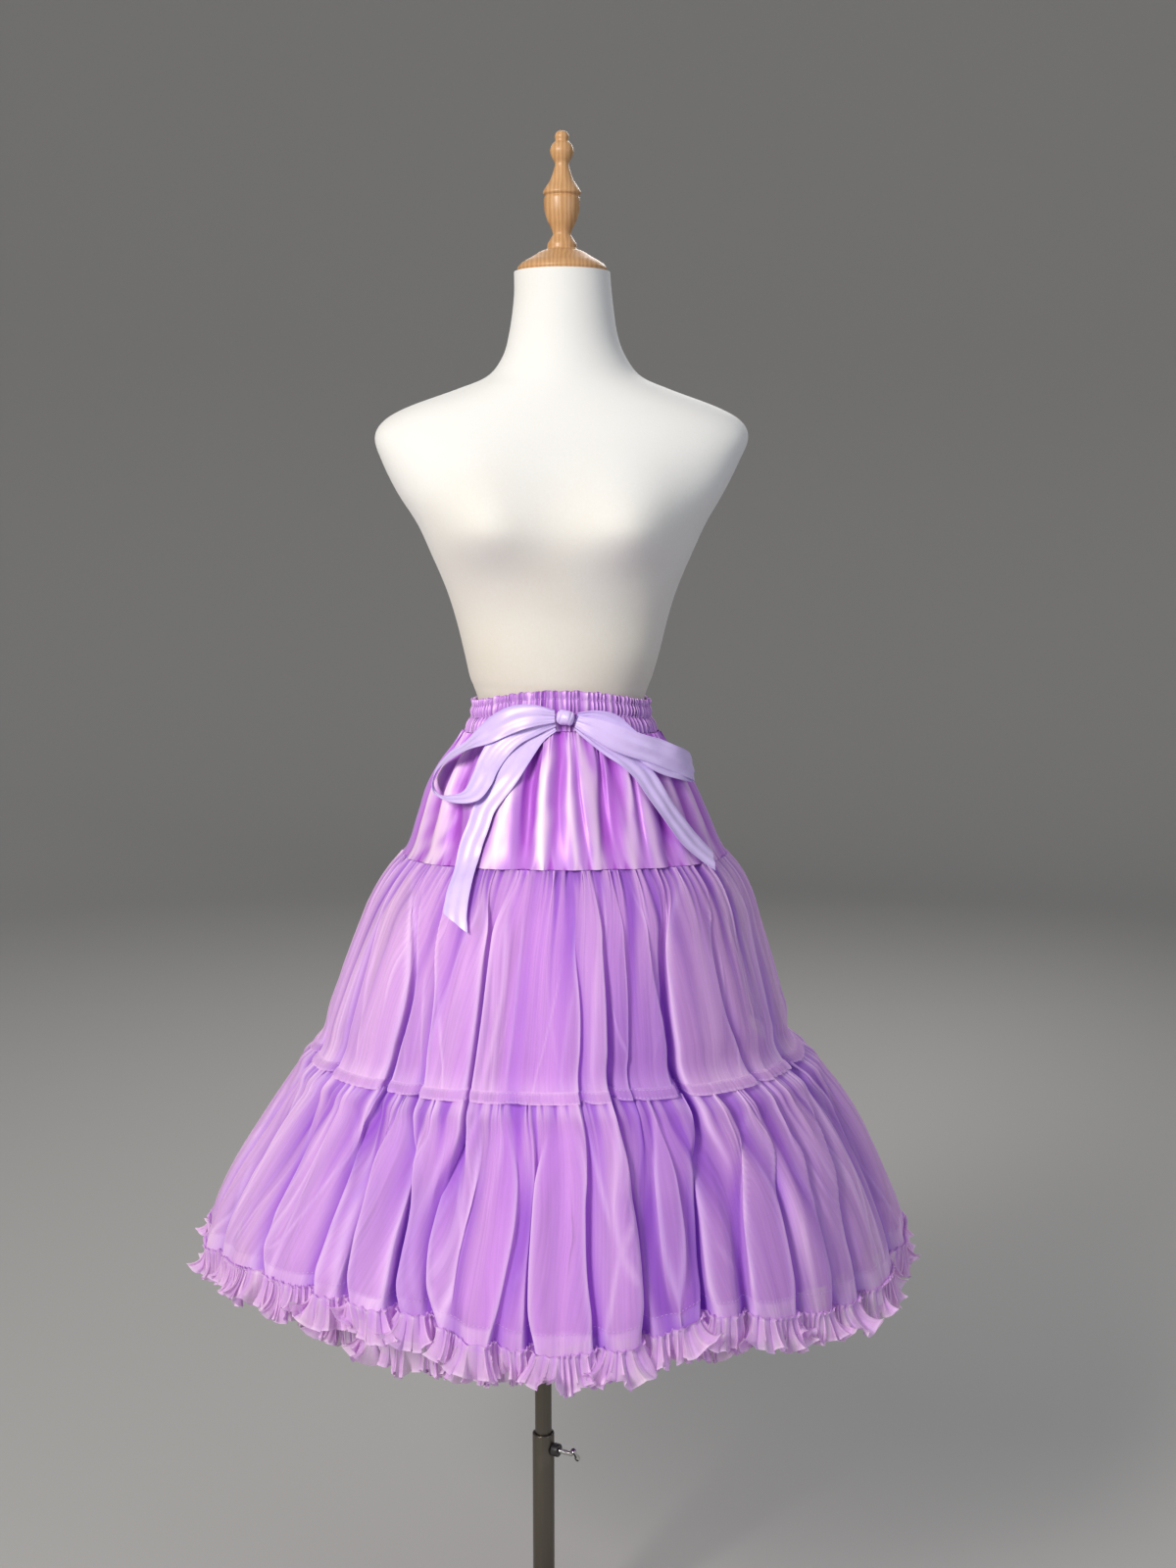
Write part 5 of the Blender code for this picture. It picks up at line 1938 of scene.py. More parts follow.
@dataclass
class LowerTier(Tier):
    """The fuller lower tier, gathered under the tape, with a doubled heading at its hem."""

    name: str = "lower_tulle"
    node: str = "lower_tier"
    finish: str = "sheer"
    top: float = TAPE_LOW
    low: float = LOWER_LOW
    columns: int = 1180
    rows: int = 48
    carriers: tuple[str, ...] = ("seam_tape_{half}",)
    folded: float = 0.036
    tuck: float = 0.005
    folds: tuple[Fold | Recess, ...] = LOWER_FOLDS
    gathers: tuple[Gather, ...] = (
        Gather(188, 0.0052, 0.016, 101, 0.06),
        Gather(92, 0.0070, 0.032, 104, 0.12),
        Gather(47, 0.0078, 0.085, 107, 0.12),
    )
    creases: Creases = Creases(170, 115)
    heading: float = 0.020
    stitch: tuple[float, float] = (0.0046, 0.0005)  # pitch, width
    soft_depth: float = 0.0040
    shoulder: float = 0.0046  # how far it swells just under the tape
    shoulder_drop: float = 0.009

    def drape(self, angles: Array, heights: Array) -> Drape:
        """How the tulle hangs: the upper tier's folds fade into its own.

        Args:
            angles: in degrees.
            heights: levels of the outline.

        Returns:
            Its drape.
        """
        share = self.share(heights)
        kept = seam_drape(angles + 0 * heights)
        kept = kept.scaled(1 - 0.75 * ease(share, 0.0, 0.7), 1 - ease(share, 0.0, 0.4))
        lap = ease(share, 0.0, 0.3) * (1 - 0.35 * ease(share, 0.8, 1.0))
        folds = lay_folds(self.folds, angles, share + 0 * angles)
        folds = folds.scaled(ease(share, 0.0, 0.45), lap)
        below = np.maximum(self.top + 0.002 - heights, 0.0)
        small = gathered(self.gathers, angles, below)
        soft = self.soft_depth * ease(share, 0.15, 0.6)
        soft = soft * (1 + ripple(angles - 7 * share, 111, 11, 60)) / 2
        drape = kept + folds + small + self.creases.drape(angles, share)
        swell = self.shoulder * bell(below - self.shoulder_drop, self.shoulder_drop)
        drape.inset = drape.inset - swell + soft
        return drape

    def dress(self, marks: Marks, angles: Array, heights: Array) -> None:
        """Thickens the doubled heading, unevenly, and the cloth under the tape.

        Args:
            marks: the values by name.
            angles: in degrees.
            heights: levels of the outline.
        """
        ragged = self.heading * (1 + 0.10 * ripple(angles, 121, 20, 90))
        head = 1 - ease((heights - self.low) / ragged, 0.80, 1.10)
        patchy = 0.36 + 0.26 * ripple(angles, 123, 5, 30)
        top = 0.25 * bell(self.top - heights, 0.006)
        marks["dense"] = np.clip(marks["dense"] + patchy * head + top, 0, 1)

    def sew(self, room: Workroom, half: Half) -> list[Piece]:
        """Sews the row of stitches over the heading.

        Args:
            room: the shared finishes.
            half: front or back.

        Returns:
            The stitches.
        """
        level = np.array([[self.low + self.heading]])
        row = self.surface(self.angles(half), level, 0.0004)[0][0]
        return [room.sew(f"heading_stitching_{half.name}", [row], *self.stitch)]


@dataclass(frozen=True)
class Frill:
    """A pleated ruffle sewn along a hem, its pleats uneven and its edge curled."""

    name: str
    node: str
    pleats: int
    columns_per_pleat: int
    rows: int
    length: float
    header: float
    stitch_wave: float
    edge_wave: float
    big_wave: float
    tilt: tuple[float, float, float]  # mean, slow and quick parts, in degrees
    seed: int
    big_pleats: int = 66

    def tilts(self, angles: Array) -> Array:
        """How far the ruffle stands out from straight down, less at the sides.

        Args:
            angles: in degrees.

        Returns:
            Angles in radians.
        """
        mean, slow, quick = self.tilt
        tilt = mean + slow * ripple(angles, self.seed, 7, 34)
        tilt = tilt + quick * ripple(angles, self.seed + 1, 40, 96)
        sides = ease(np.abs(np.sin(np.radians(angles))), 0.70, 0.97)
        return np.radians(np.clip(tilt, -10, 58)) * (1 - 0.65 * sides)

    def surface(self, angles: Array, base: Array) -> tuple[Array, Marks]:
        """The ruffle's points and marks.

        Args:
            angles: one row of angles, in degrees.
            base: the hem's points there.

        Returns:
            The points and the marks.
        """
        up = np.array([0.0, 0.0, 1.0])
        tangent = unit(smoothed(np.gradient(base, axis=0), 2 * self.columns_per_pleat))
        normal = unit(np.cross(tangent, up))
        tilt, turn, seed = self.tilts(angles), np.radians(angles), self.seed
        phase = turn * self.pleats + 3.4 * ripple(angles, seed + 2, 12, 90)
        pleat = np.sin(phase)
        big = np.sin(turn * self.big_pleats + 1.2 * ripple(angles, seed + 3, 4, 22))
        size = np.clip(0.95 + 0.50 * ripple(angles, seed + 4, 30, 200), 0.25, 1.8)
        long = self.length * (0.94 + 0.10 * ripple(angles, seed + 5, 14, 90))
        curl = ripple(angles, seed + 6, 60, 260)
        grid, deep, dense = [], [], []
        for t in np.linspace(-self.header / self.length, 1.0, self.rows):
            below = max(t, 0.0)
            reach = t if t > 0 else -1.8 * t
            opened = self.stitch_wave + (self.edge_wave - self.stitch_wave) * reach**0.75
            lean = tilt * (0.45 + 0.55 * below) if t > 0 else -0.3 * tilt - 0.5
            lean = (lean + 0.38 * below**2 * curl)[:, None]
            along = normal * np.sin(lean) - up * np.cos(lean)
            across = normal * np.cos(lean) + up * np.sin(lean)
            wave = opened * size * pleat + self.big_wave * below * big + 0.0010
            side = opened * 0.75 * size * np.sin(2 * phase)
            row = base + along * (long * t)[:, None] + across * wave[:, None]
            row = row + tangent * side[:, None]
            row[:, 2] += 0.0016 * below * np.sin(phase + 0.8) + 0.0022 * below**3 * curl
            rim = 0.6 * (bell(1 - t, 0.05) + bell(t, 0.07))
            grid.append(row)
            # painted shade in the pleats' inner hollows, weaker towards the edge
            deep.append(np.clip(0.42 - 0.42 * pleat, 0, 1) * (1 - 0.55 * below))
            dense.append(np.clip(pleat**8 * 0.45 + rim, 0, 1))
        grid = np.array(grid)
        outward = unit(outward_at(angles) + 0.35 * up)[None]
        hang = outward * ease((facing(grid) * outward).sum(-1), 0.2, 0.8)[..., None]
        return grid, {"deep": np.array(deep), "dense": np.array(dense), "hang": hang}

    def build(self, room: Workroom, half: Half, hem: Callable[[Array], Array]) -> Piece:
        """Makes one length of the ruffle.

        Args:
            room: the shared finishes.
            half: front or back.
            hem: gives the hem's points at some angles.

        Returns:
            The ruffle.
        """
        start, end = half.value
        count = self.pleats // 2 * self.columns_per_pleat + 1
        angles = np.linspace(start + 0.05, end - 0.05, count)
        grid, marks = self.surface(angles, hem(angles))
        name = f"{self.name}_{half.name}"
        made = grid_piece(name, grid, room.frill, marks, flat_cloth(grid))
        nodes = [f"{self.node}_{half.name}"] if self.node else []
        return settle(made, "form", "tulle", *nodes)

    def declare(self, piece: Piece, carrier: str) -> None:
        """Says how a length was cut: its whole area over its depth.

        Args:
            piece: one length.
            carrier: what it is sewn to, which is not used.
        """
        deep = self.length + self.header
        area = sum(face.area for face in piece.data.polygons)
        declare(piece, (round(area / deep, 3), round(deep, 4)))


def smoothed(values: Array, reach: int) -> Array:
    """A running mean along the first axis.

    Args:
        values: one row of vectors.
        reach: how many steps it takes in on each side.

    Returns:
        The mean.
    """
    kernel = np.hanning(2 * reach + 3)[1:-1]
    kernel = kernel / kernel.sum()
    padded = np.concatenate([values[:1].repeat(reach, 0), values, values[-1:].repeat(reach, 0)])
    return np.stack([np.convolve(padded[:, i], kernel, "valid") for i in range(3)], -1)


HEM_FRILL = Frill(
    "hem_frill", "hem_ruffle", 440, 9, 10, 0.034, 0.0050, 0.0010, 0.0034, 0.0050, (20.0, 24.0, 20.0), 131
)
LINING_FRILL = Frill(
    "lining_frill", "", 340, 8, 8, 0.033, 0.0, 0.0010, 0.0034, 0.0040, (8.0, 12.0, 16.0), 151
)


def ruffle_hem(room: Workroom, tier: LowerTier) -> None:
    """Sews the ruffle on the outer skirt's hem.

    Args:
        room: the shared finishes.
        tier: the tier that it is sewn to.
    """
    for half in Half:
        HEM_FRILL.declare(HEM_FRILL.build(room, half, tier.hem), f"lower_tier_{half.name}")


@dataclass
class UnderLayer(Tier):
    """The lining layer of denser tulle, sewn behind the yoke, with a frill of its own."""

    name: str = "lining_tulle"
    node: str = "under_layer"
    finish: str = "lining"
    top: float = YOKE_LOW
    low: float = 0.545
    columns: int = 420
    rows: int = 44
    carriers: tuple[str, ...] = ("yoke_{half}",)
    folded: float = 0.020
    held: str = "hung"
    folds: tuple[Fold, ...] = UNDER_FOLDS
    gathers: tuple[Gather, ...] = (Gather(90, 0.0014, 0.02, 161), Gather(41, 0.0040, 0.20, 164))
    swing: Swing = Swing.UNDER
    seam_height: float = 0.640
    pinch: Gather = Gather(74, 0.0020, 0.03, 167)
    top_inset: float = 0.0095
    full_inset: float = 0.044
    full_below: float = 0.925
    soft_depth: float = 0.004

    def drape(self, angles: Array, heights: Array) -> Drape:
        """How the lining hangs inside the outline, calmer at its sides.

        Args:
            angles: in degrees.
            heights: levels of the outline.

        Returns:
            Its drape.
        """
        share = self.share(heights)
        sunk = np.clip((self.top - heights) / (self.top - self.full_below), 0, 1)
        base = self.top_inset + (self.full_inset - self.top_inset) * sunk
        calm = 1 - 0.7 * ease(np.abs(np.sin(np.radians(angles))), 0.75, 0.95)
        folds = lay_folds(self.folds, angles, share + 0 * angles)
        folds = folds.scaled(ease(share, 0.05, 0.5) * calm, ease(share, 0.1, 0.4))
        small = gathered(self.gathers, angles, self.top - heights)
        pinch = self.pinch.drape(angles, np.abs(heights - self.seam_height))
        drape = folds + small.scaled(calm, calm) + pinch.scaled(0.6 * calm, calm)
        soft = self.soft_depth * ease(share, 0.3, 0.9)
        soft = soft * (1 + ripple(angles + 5 * share, 171, 9, 40)) / 2
        drape.inset = drape.inset * 0.9 + soft * calm + base - 0.004 * ease(share, 0.1, 0.3)
        return drape

    def surface(self, angles: Array, heights: Array, out: float = 0.0) -> tuple[Array, Drape]:
        """The lining's points, and its drape with the depth of its folds alone.

        Args:
            angles: in degrees.
            heights: levels of the outline.
            out: how far they lie outside the lining.

        Returns:
            The points and the drape.
        """
        points, drape = super().surface(angles, heights, out)
        drape.inset = np.clip(drape.inset - 0.042, 0, 1)
        return points, drape

    def hem(self, angles: Array) -> Array:
        """The lower edge's points at some angles."""
        return self.surface(angles, np.full_like(angles, self.low))[0]

    def dress(self, marks: Marks, angles: Array, heights: Array) -> None:
        """Thickens the seam across the lining.

        Args:
            marks: the values by name.
            angles: in degrees.
            heights: levels of the outline.
        """
        seam = 0.8 * bell(heights - self.seam_height, 0.0035)
        marks["dense"] = np.clip(marks["dense"] + seam, 0, 1)

    def build(self, room: Workroom) -> None:
        """Makes both panels and their frill.

        Args:
            room: the shared finishes.
        """
        for half in Half:
            made, points = self.panel(room, half)
            frill = LINING_FRILL.build(room, half, self.hem)
            declare(made, cut_of(points))
            LINING_FRILL.declare(frill, f"under_layer_{half.name}")


# ------------------------------------------------------------------ the bow
@dataclass
class Strip:
    """A length of ribbon through its stations.

    A station of a loop is (angle, height, out, width, slope, turn), and one of a tail, which
    lies along the skirt, is (angle, height, out, width).
    """

    name: str
    node: str
    stations: Table
    trim: float = 0.0
    cup: float = 0.0
    flutter: float = 0.0
    seed: int = 0
    steps: int = 9
    across: int = 18
    wall: float = 0.0005
    pleat: float = 0.0026
    crease: float = 0.0005

    @staticmethod
    def place(table: Array) -> Array:
        """The middle of the ribbon at each station."""
        return skirt_points(table[:, 0], table[:, 1], -table[:, 2])

    def side(self, table: Array, ahead: Array) -> Array:
        """Which way the ribbon's width lies at each station.

        Args:
            table: the stations.
            ahead: the ribbon's direction there.

        Returns:
            The directions, of length 1.
        """
        if self.looped(table):
            slope, turn = np.radians(table[:, 4:6]).T
            level = np.cos(turn)
            return np.stack([np.cos(slope) * level, np.sin(turn), np.sin(slope) * level], 1)
        middle = self.place(table)
        beside, over = table.copy(), table.copy()
        beside[:, 0] += 1
        over[:, 1] += 0.004
        outward = unit(np.cross(self.place(beside) - middle, self.place(over) - middle))
        return unit(np.cross(outward, ahead))

    @staticmethod
    def looped(table: Array) -> bool:
        """Whether the stations are a loop's."""
        return table.shape[1] == 6

    def build(self, room: Workroom) -> None:
        """Makes the strip.

        Args:
            room: the shared finishes.
        """
        table = stations(self.stations, (len(self.stations) - 1) * self.steps + 1)
        middle, width = self.place(table), table[:, 3]
        ahead = unit(np.gradient(middle, axis=0))
        side = self.side(table, ahead)
        ahead = unit(ahead - side * (ahead * side).sum(1, keepdims=True))
        face = np.cross(side, ahead)
        run = lengths_along(middle, 0)
        cut_end = 0 * run
        if self.trim:
            cut_end = np.clip(1 - (run[-1] - run) / (1.5 * abs(self.trim)), 0, 1)
        slant = ahead * (self.trim / 2 * cut_end)[:, None]
        squeeze = 1 - width / width.max()
        phase = np.random.default_rng(self.seed).uniform(0, 6.28, 4)
        at = np.linspace(-1, 1, self.across)
        skins = []
        for level in (-self.wall / 2, self.wall / 2):
            skin = []
            for x in at:
                bend = self.cup * (x * x - 0.4) * (1 + 0.5 * np.sin(run * 55 + phase[0]))
                wave = x * np.sin(run * 95 + phase[1]) + 0.4 * np.sin(run * 160 + phase[2] + 2 * x)
                fan = np.abs(np.sin(2.3 * np.pi * x + phase[3])) ** 0.7 - 0.5
                long = np.sin(7 * x + 14 * run + phase[2])
                lift = bend + self.flutter * wave + self.pleat * squeeze * fan
                lift = lift + self.crease * long * (1 - squeeze) + level
                half = side * (x * width / 2)[:, None]
                skin.append(middle + half + slant * x + face * lift[:, None])
            skins.append(skin)
        ring = np.array(skins[0] + skins[1][::-1]).transpose(1, 0, 2)
        flat_x = (np.concatenate([at, at[::-1]]) * 0.5 + 0.5) * width.max()
        made = grid_piece(self.name, ring, room.ribbon, closed=True)
        lay_flat(made, np.stack(np.broadcast_arrays(flat_x[None, :], run[:, None]), -1))
        close_ends(made, *ring.shape[:2])
        settle(made, "form", "ribbon", self.node)
        flat = (round(float(width.mean()) * 1.02, 4), round(float(run[-1]), 3))
        declare(made, flat)


W = RIBBON_WIDTH
LEFT_LOOP: Table = (
    (-2.6, 1.1171, 0.0140, 0.013, 92, 0), (-12.4, 1.1184, 0.0190, 0.022, 94, 4),
    (-21.8, 1.1167, 0.0220, W, 106, 10), (-30.5, 1.1105, 0.0220, W, 122, 22),
    (-39.5, 1.1001, 0.0190, W, 134, 50), (-48.3, 1.0898, 0.0170, W, 140, 74),
    (-58.5, 1.0779, 0.0130, W, 145, 84), (-64.4, 1.0634, 0.0100, W, 150, 86),
    (-60.8, 1.0494, 0.0105, W, 155, 86), (-53.0, 1.0408, 0.0115, W, 158, 82),
    (-44.0, 1.0386, 0.0125, W, 160, 70), (-35.5, 1.0426, 0.0120, W, 158, 50),
    (-32.6, 1.0579, 0.0105, W, 154, 36), (-32.2, 1.0723, 0.0095, W, 152, 32),
    (-30.0, 1.0873, 0.0110, W, 146, 28), (-23.6, 1.1006, 0.0125, 0.024, 132, 18),
    (-13.1, 1.1082, 0.0108, 0.018, 116, 8), (-2.7, 1.1126, 0.0088, 0.012, 104, 0),
)
RIGHT_LOOP: Table = (
    (8.8, 1.1130, 0.0150, 0.013, 68, 4), (18.0, 1.1076, 0.0205, 0.022, 64, 5),
    (26.7, 1.0993, 0.0235, W, 62, 5), (35.5, 1.0918, 0.0240, W, 64, 5),
    (45.1, 1.0860, 0.0235, W, 65, 5), (53.0, 1.0792, 0.0225, W, 68, 6),
    (61.5, 1.0727, 0.0200, W, 78, 12), (68.5, 1.0671, 0.0165, W, 90, 22),
    (72.5, 1.0637, 0.0125, W, 98, 30), (68.5, 1.0631, 0.0095, W, 102, 35),
    (60.0, 1.0664, 0.0098, W, 98, 36), (51.0, 1.0725, 0.0104, W, 92, 37),
    (43.7, 1.0805, 0.0112, W, 88, 36), (38.0, 1.0940, 0.0115, W, 80, 30),
    (29.4, 1.1086, 0.0112, 0.025, 72, 18), (19.2, 1.1153, 0.0095, 0.018, 68, 9),
    (9.0, 1.1153, 0.0080, 0.012, 68, 4),
)
LEFT_TAIL: Table = (
    (-3.0, 1.1073, 0.0046, 0.010), (-11.3, 1.1003, 0.0034, 0.018), (-16.8, 1.0874, 0.0026, 0.024),
    (-21.2, 1.0670, 0.0030, W), (-26.7, 1.0452, 0.0034, W), (-30.4, 1.0279, 0.0036, W),
    (-32.1, 1.0094, 0.0036, W), (-33.9, 0.9926, 0.0036, W), (-34.1, 0.9751, 0.0040, W),
    (-32.4, 0.9523, 0.0060, W), (-30.8, 0.9314, 0.0055, W), (-29.5, 0.9186, 0.0050, W),
)
RIGHT_TAIL: Table = (
    (9.3, 1.1084, 0.0042, 0.010), (20.5, 1.0948, 0.0030, 0.018), (33.0, 1.0765, 0.0028, W),
    (38.5, 1.0622, 0.0034, W), (41.8, 1.0428, 0.0040, W), (45.6, 1.0219, 0.0044, W),
    (50.8, 0.9992, 0.0044, W), (55.5, 0.9823, 0.0070, W), (58.5, 0.9723, 0.0095, W),
)


@dataclass
class Bow:
    """The satin ribbon bow: a knot, two loops and two tails."""

    knot_angle: float = 3.0
    knot_height: float = 1.1156
    knot_out: float = 0.0110
    knot_size: tuple[float, float, float] = (0.0092, 0.0078, 0.0076)
    knot_lean: float = 10.0
    knot_rows: int = 48
    knot_columns: int = 64
    boxy: float = 0.58
    strips: tuple[Strip, ...] = (
        Strip("bow_left_loop", "bow_loop_left", LEFT_LOOP, 0.0, 0.0008, 0.0006, 3),
        Strip("bow_right_loop", "bow_loop_right", RIGHT_LOOP, 0.0, 0.0010, 0.0005, 5),
        Strip("bow_left_tail", "bow_tail_left", LEFT_TAIL, 0.026, 0.0006, 0.0007, 7),
        Strip("bow_right_tail", "bow_tail_right", RIGHT_TAIL, -0.026 / 3, 0.0005, 0.0005, 9),
    )

    def knot(self, room: Workroom) -> None:
        """The knot, a ribbon wound tight round itself.

        Args:
            room: the shared finishes.
        """
        down = np.linspace(0.02, np.pi - 0.02, self.knot_rows)[:, None]
        turn = np.linspace(0, TURN, self.knot_columns, endpoint=False)[None, :]
        cos_d, sin_d = np.cos(down), np.sin(down)
        x = np.sign(cos_d) * np.abs(cos_d) ** self.boxy * np.ones_like(turn)
        crease = 1 + 0.10 * np.abs(np.sin(5 * down + 0.9 * np.sin(turn))) ** 0.7
        crease = crease - 0.06 + 0.04 * np.sin(2 * turn + 6 * down)
        ring = np.abs(sin_d) ** self.boxy * crease
        waist = 1 - 0.16 * bell(cos_d - 0.15, 0.20) * np.cos(turn - 0.6)
        points = np.stack([x, ring * np.cos(turn) * waist, ring * np.sin(turn)], -1)
        lean = math.radians(self.knot_lean)
        c, s = math.cos(lean), math.sin(lean)
        leant = np.array([(c, 0, s), (0, 1, 0), (-s, 0, c)])
        place = skirt_points(self.knot_angle, self.knot_height, -self.knot_out)
        points = (points * self.knot_size) @ leant.T + place
        made = grid_piece("bow_wrap", points, room.ribbon, closed=True)
        lay_flat(made, np.stack([(x * 0.5 + 0.5) * 0.016 + 0.005, turn * 0.008 + 0 * x], -1))
        close_ends(made, self.knot_rows, self.knot_columns)
        settle(made, "form", "ribbon", "bow_knot")

    def build(self, room: Workroom) -> None:
        """Makes the whole bow.

        Args:
            room: the shared finishes.
        """
        for strip in self.strips:
            strip.build(room)
        self.knot(room)


# ------------------------------------------------------------------ form and stand
# Height, half width, front, back, centre across, centre back, squareness.
TORSO_SECTIONS: Table = (
    (1.5870, 0.0505, 0.050, 0.050, 0.002, -0.004, 2.0), (1.5600, 0.0520, 0.051, 0.052, 0.003, -0.001, 2.0),
    (1.5240, 0.0575, 0.054, 0.057, 0.003, 0.004, 2.0), (1.5000, 0.0660, 0.058, 0.064, 0.004, 0.007, 2.0),
    (1.4800, 0.0825, 0.062, 0.072, 0.004, 0.008, 2.0), (1.4660, 0.1155, 0.065, 0.078, 0.003, 0.007, 2.0),
    (1.4480, 0.1650, 0.070, 0.081, 0.002, 0.006, 2.1), (1.4330, 0.1910, 0.075, 0.083, 0.002, 0.005, 2.2),
    (1.4150, 0.1990, 0.081, 0.086, 0.001, 0.004, 2.4), (1.3900, 0.1900, 0.090, 0.088, 0.000, 0.002, 2.5),
    (1.3580, 0.1740, 0.097, 0.089, 0.000, 0.000, 2.5), (1.3250, 0.1540, 0.101, 0.088, 0.001, 0.000, 2.4),
    (1.2930, 0.1395, 0.100, 0.085, 0.001, 0.000, 2.3), (1.2570, 0.1245, 0.094, 0.082, 0.001, 0.000, 2.2),
    (1.2250, 0.1145, 0.088, 0.080, 0.001, 0.000, 2.1), (1.1900, 0.1060, 0.084, 0.081, 0.001, 0.000, 2.1),
    (1.1620, 0.0990, 0.081, 0.078, 0.000, 0.000, 2.0), (1.1500, 0.0944, 0.079, 0.077, 0.000, 0.000, 2.0),
    (1.1340, 0.0900, 0.078, 0.077, 0.000, 0.000, 2.0), (1.1080, 0.0930, 0.081, 0.081, 0.000, 0.000, 2.0),
    (1.0700, 0.1120, 0.092, 0.096, 0.000, 0.001, 2.1), (1.0200, 0.1310, 0.101, 0.110, 0.000, 0.003, 2.2),
    (0.9650, 0.1460, 0.108, 0.120, 0.000, 0.004, 2.2), (0.9200, 0.1500, 0.109, 0.121, 0.000, 0.004, 2.2),
    (0.8800, 0.1460, 0.104, 0.115, 0.000, 0.004, 2.2), (0.8580, 0.1380, 0.098, 0.108, 0.000, 0.004, 2.2),
    (0.8480, 0.1290, 0.091, 0.101, 0.000, 0.004, 2.2),
)
# Height over the neck, radius.
FINIAL_PROFILE: Table = (
    (0.0000, 0.0460), (0.0035, 0.0470), (0.0085, 0.0425), (0.0145, 0.0325), (0.0205, 0.0225),
    (0.0230, 0.0162), (0.0285, 0.0152), (0.0350, 0.0112), (0.0385, 0.0096), (0.0440, 0.0112),
    (0.0520, 0.0152), (0.0620, 0.0183), (0.0740, 0.0189), (0.0770, 0.0176), (0.0795, 0.0198),
    (0.0830, 0.0190), (0.0930, 0.0125), (0.1030, 0.0088), (0.1100, 0.0073), (0.1160, 0.0104),
    (0.1225, 0.0124), (0.1290, 0.0104), (0.1325, 0.0070), (0.1375, 0.0076), (0.1415, 0.0054),
    (0.1430, 0.0022),
)


@dataclass
class DressForm:
    """The limbless form: a jersey cover drawn over foam, and the finial on its neck."""

    form_x: float = 0.022
    neck: tuple[float, float] = (0.024, -0.004)  # the neck's middle
    neck_top: float = 1.5875
    bore_radius: float = 0.011
    bore_depth: float = 0.0704
    bust_height: float = 1.322
    bust_out: float = 0.080
    bust_rise: float = 0.033
    bust_side: float = 0.052
    bust_up: float = 0.058
    bust_down: float = 0.040
    bridge_rise: float = 0.016
    bridge_down: float = 0.060
    columns: int = 144
    rows: int = 150
    finial_steps: int = 6

    def bust(self, height: Array, x: Array) -> Array:
        """How far the chest stands out in front.

        Args:
            height: levels over the floor.
            x: how far across.

        Returns:
            The rise of the two crowns and of the cover that bridges the dip between them.
        """
        above = height > self.bust_height
        level = bell(height - self.bust_height, np.where(above, self.bust_up, self.bust_down))
        crowns = sum(bell(x - side * self.bust_out, self.bust_side) for side in (-1, 1))
        bridged = bell(height - self.bust_height, np.where(above, self.bust_up, self.bridge_down))
        return level * self.bust_rise * crowns + self.bridge_rise * bridged * bell(x, self.bust_out)

    def skin(self) -> Array:
        """Shapes the form from the neck down.

        Returns:
            Its grid of points.
        """
        columns = stations(TORSO_SECTIONS, self.rows).T[:, :, None]
        height, half, front, back, centre_x, centre_y, power = columns
        turn = np.linspace(0, TURN, self.columns, endpoint=False)[None, :]
        across, ahead = np.sin(turn), np.cos(turn)
        x = centre_x + half * np.sign(across) * np.abs(across) ** (2.0 / power)
        y = -np.where(ahead > 0, front, back) * np.sign(ahead) * np.abs(ahead) ** (2.0 / power)
        y = y - np.where(ahead > 0, self.bust(height, x) * np.minimum(1.0, 2.5 * ahead), 0.0)
        return np.stack([self.form_x + x, centre_y + y, height + 0 * x], -1)

    def cover(self) -> Array:
        """Shapes the whole cover: the neck's lid, the skin, and the bore in its foot.

        Returns:
            Its grid of points.
        """
        skin = self.skin()
        top, low = skin[0], skin[-1]
        lid = []
        for share, drop in ((0.0, 0.0), (0.55, 0.0), (0.94, 0.0001)):
            ring = (*self.neck, 0.0) + (top - (*self.neck, 0.0)) * (share, share, 1)
            ring[:, 2] = self.neck_top - drop
            lid.append(ring)
        turn = np.linspace(0, TURN, self.columns, endpoint=False)
        bore = self.bore_radius * np.stack([np.sin(turn), -np.cos(turn)], 1)
        foot = []
        for share in (0.985, 0.6, 0.0):
            ring = low.copy()
            ring[:, :2] = bore + (low[:, :2] - bore) * share
            foot.append(ring)
        end = foot[-1] + (0, 0, self.bore_depth)
        return np.array([*lid, *skin, *foot, end, end * (0.02, 0.02, 1)])

    def build(self, room: Workroom) -> None:
        """Makes the form, its bore and the finial.

        Args:
            room: the shared finishes.
        """
        rows = self.cover()
        cover = grid_piece("form_cover", rows, room.jersey, None, flat_cloth(rows), closed=True)
        close_ends(cover, *rows.shape[:2])
        settle(cover, "form", "jersey", "torso")
        height, radius = stations(FINIAL_PROFILE, (len(FINIAL_PROFILE) - 1) * self.finial_steps + 1).T
        height = height + self.neck_top
        outline = np.stack([np.maximum(radius, 0.0008), height], 1)
        profile = np.array([(0.0, self.neck_top), *outline, (0.0, height[-1] + 0.0004)])
        finial = room.turn("turned_finial", profile, room.beech, 96, self.neck, 48.0)
        settle(finial, "form", "beech", "finial")


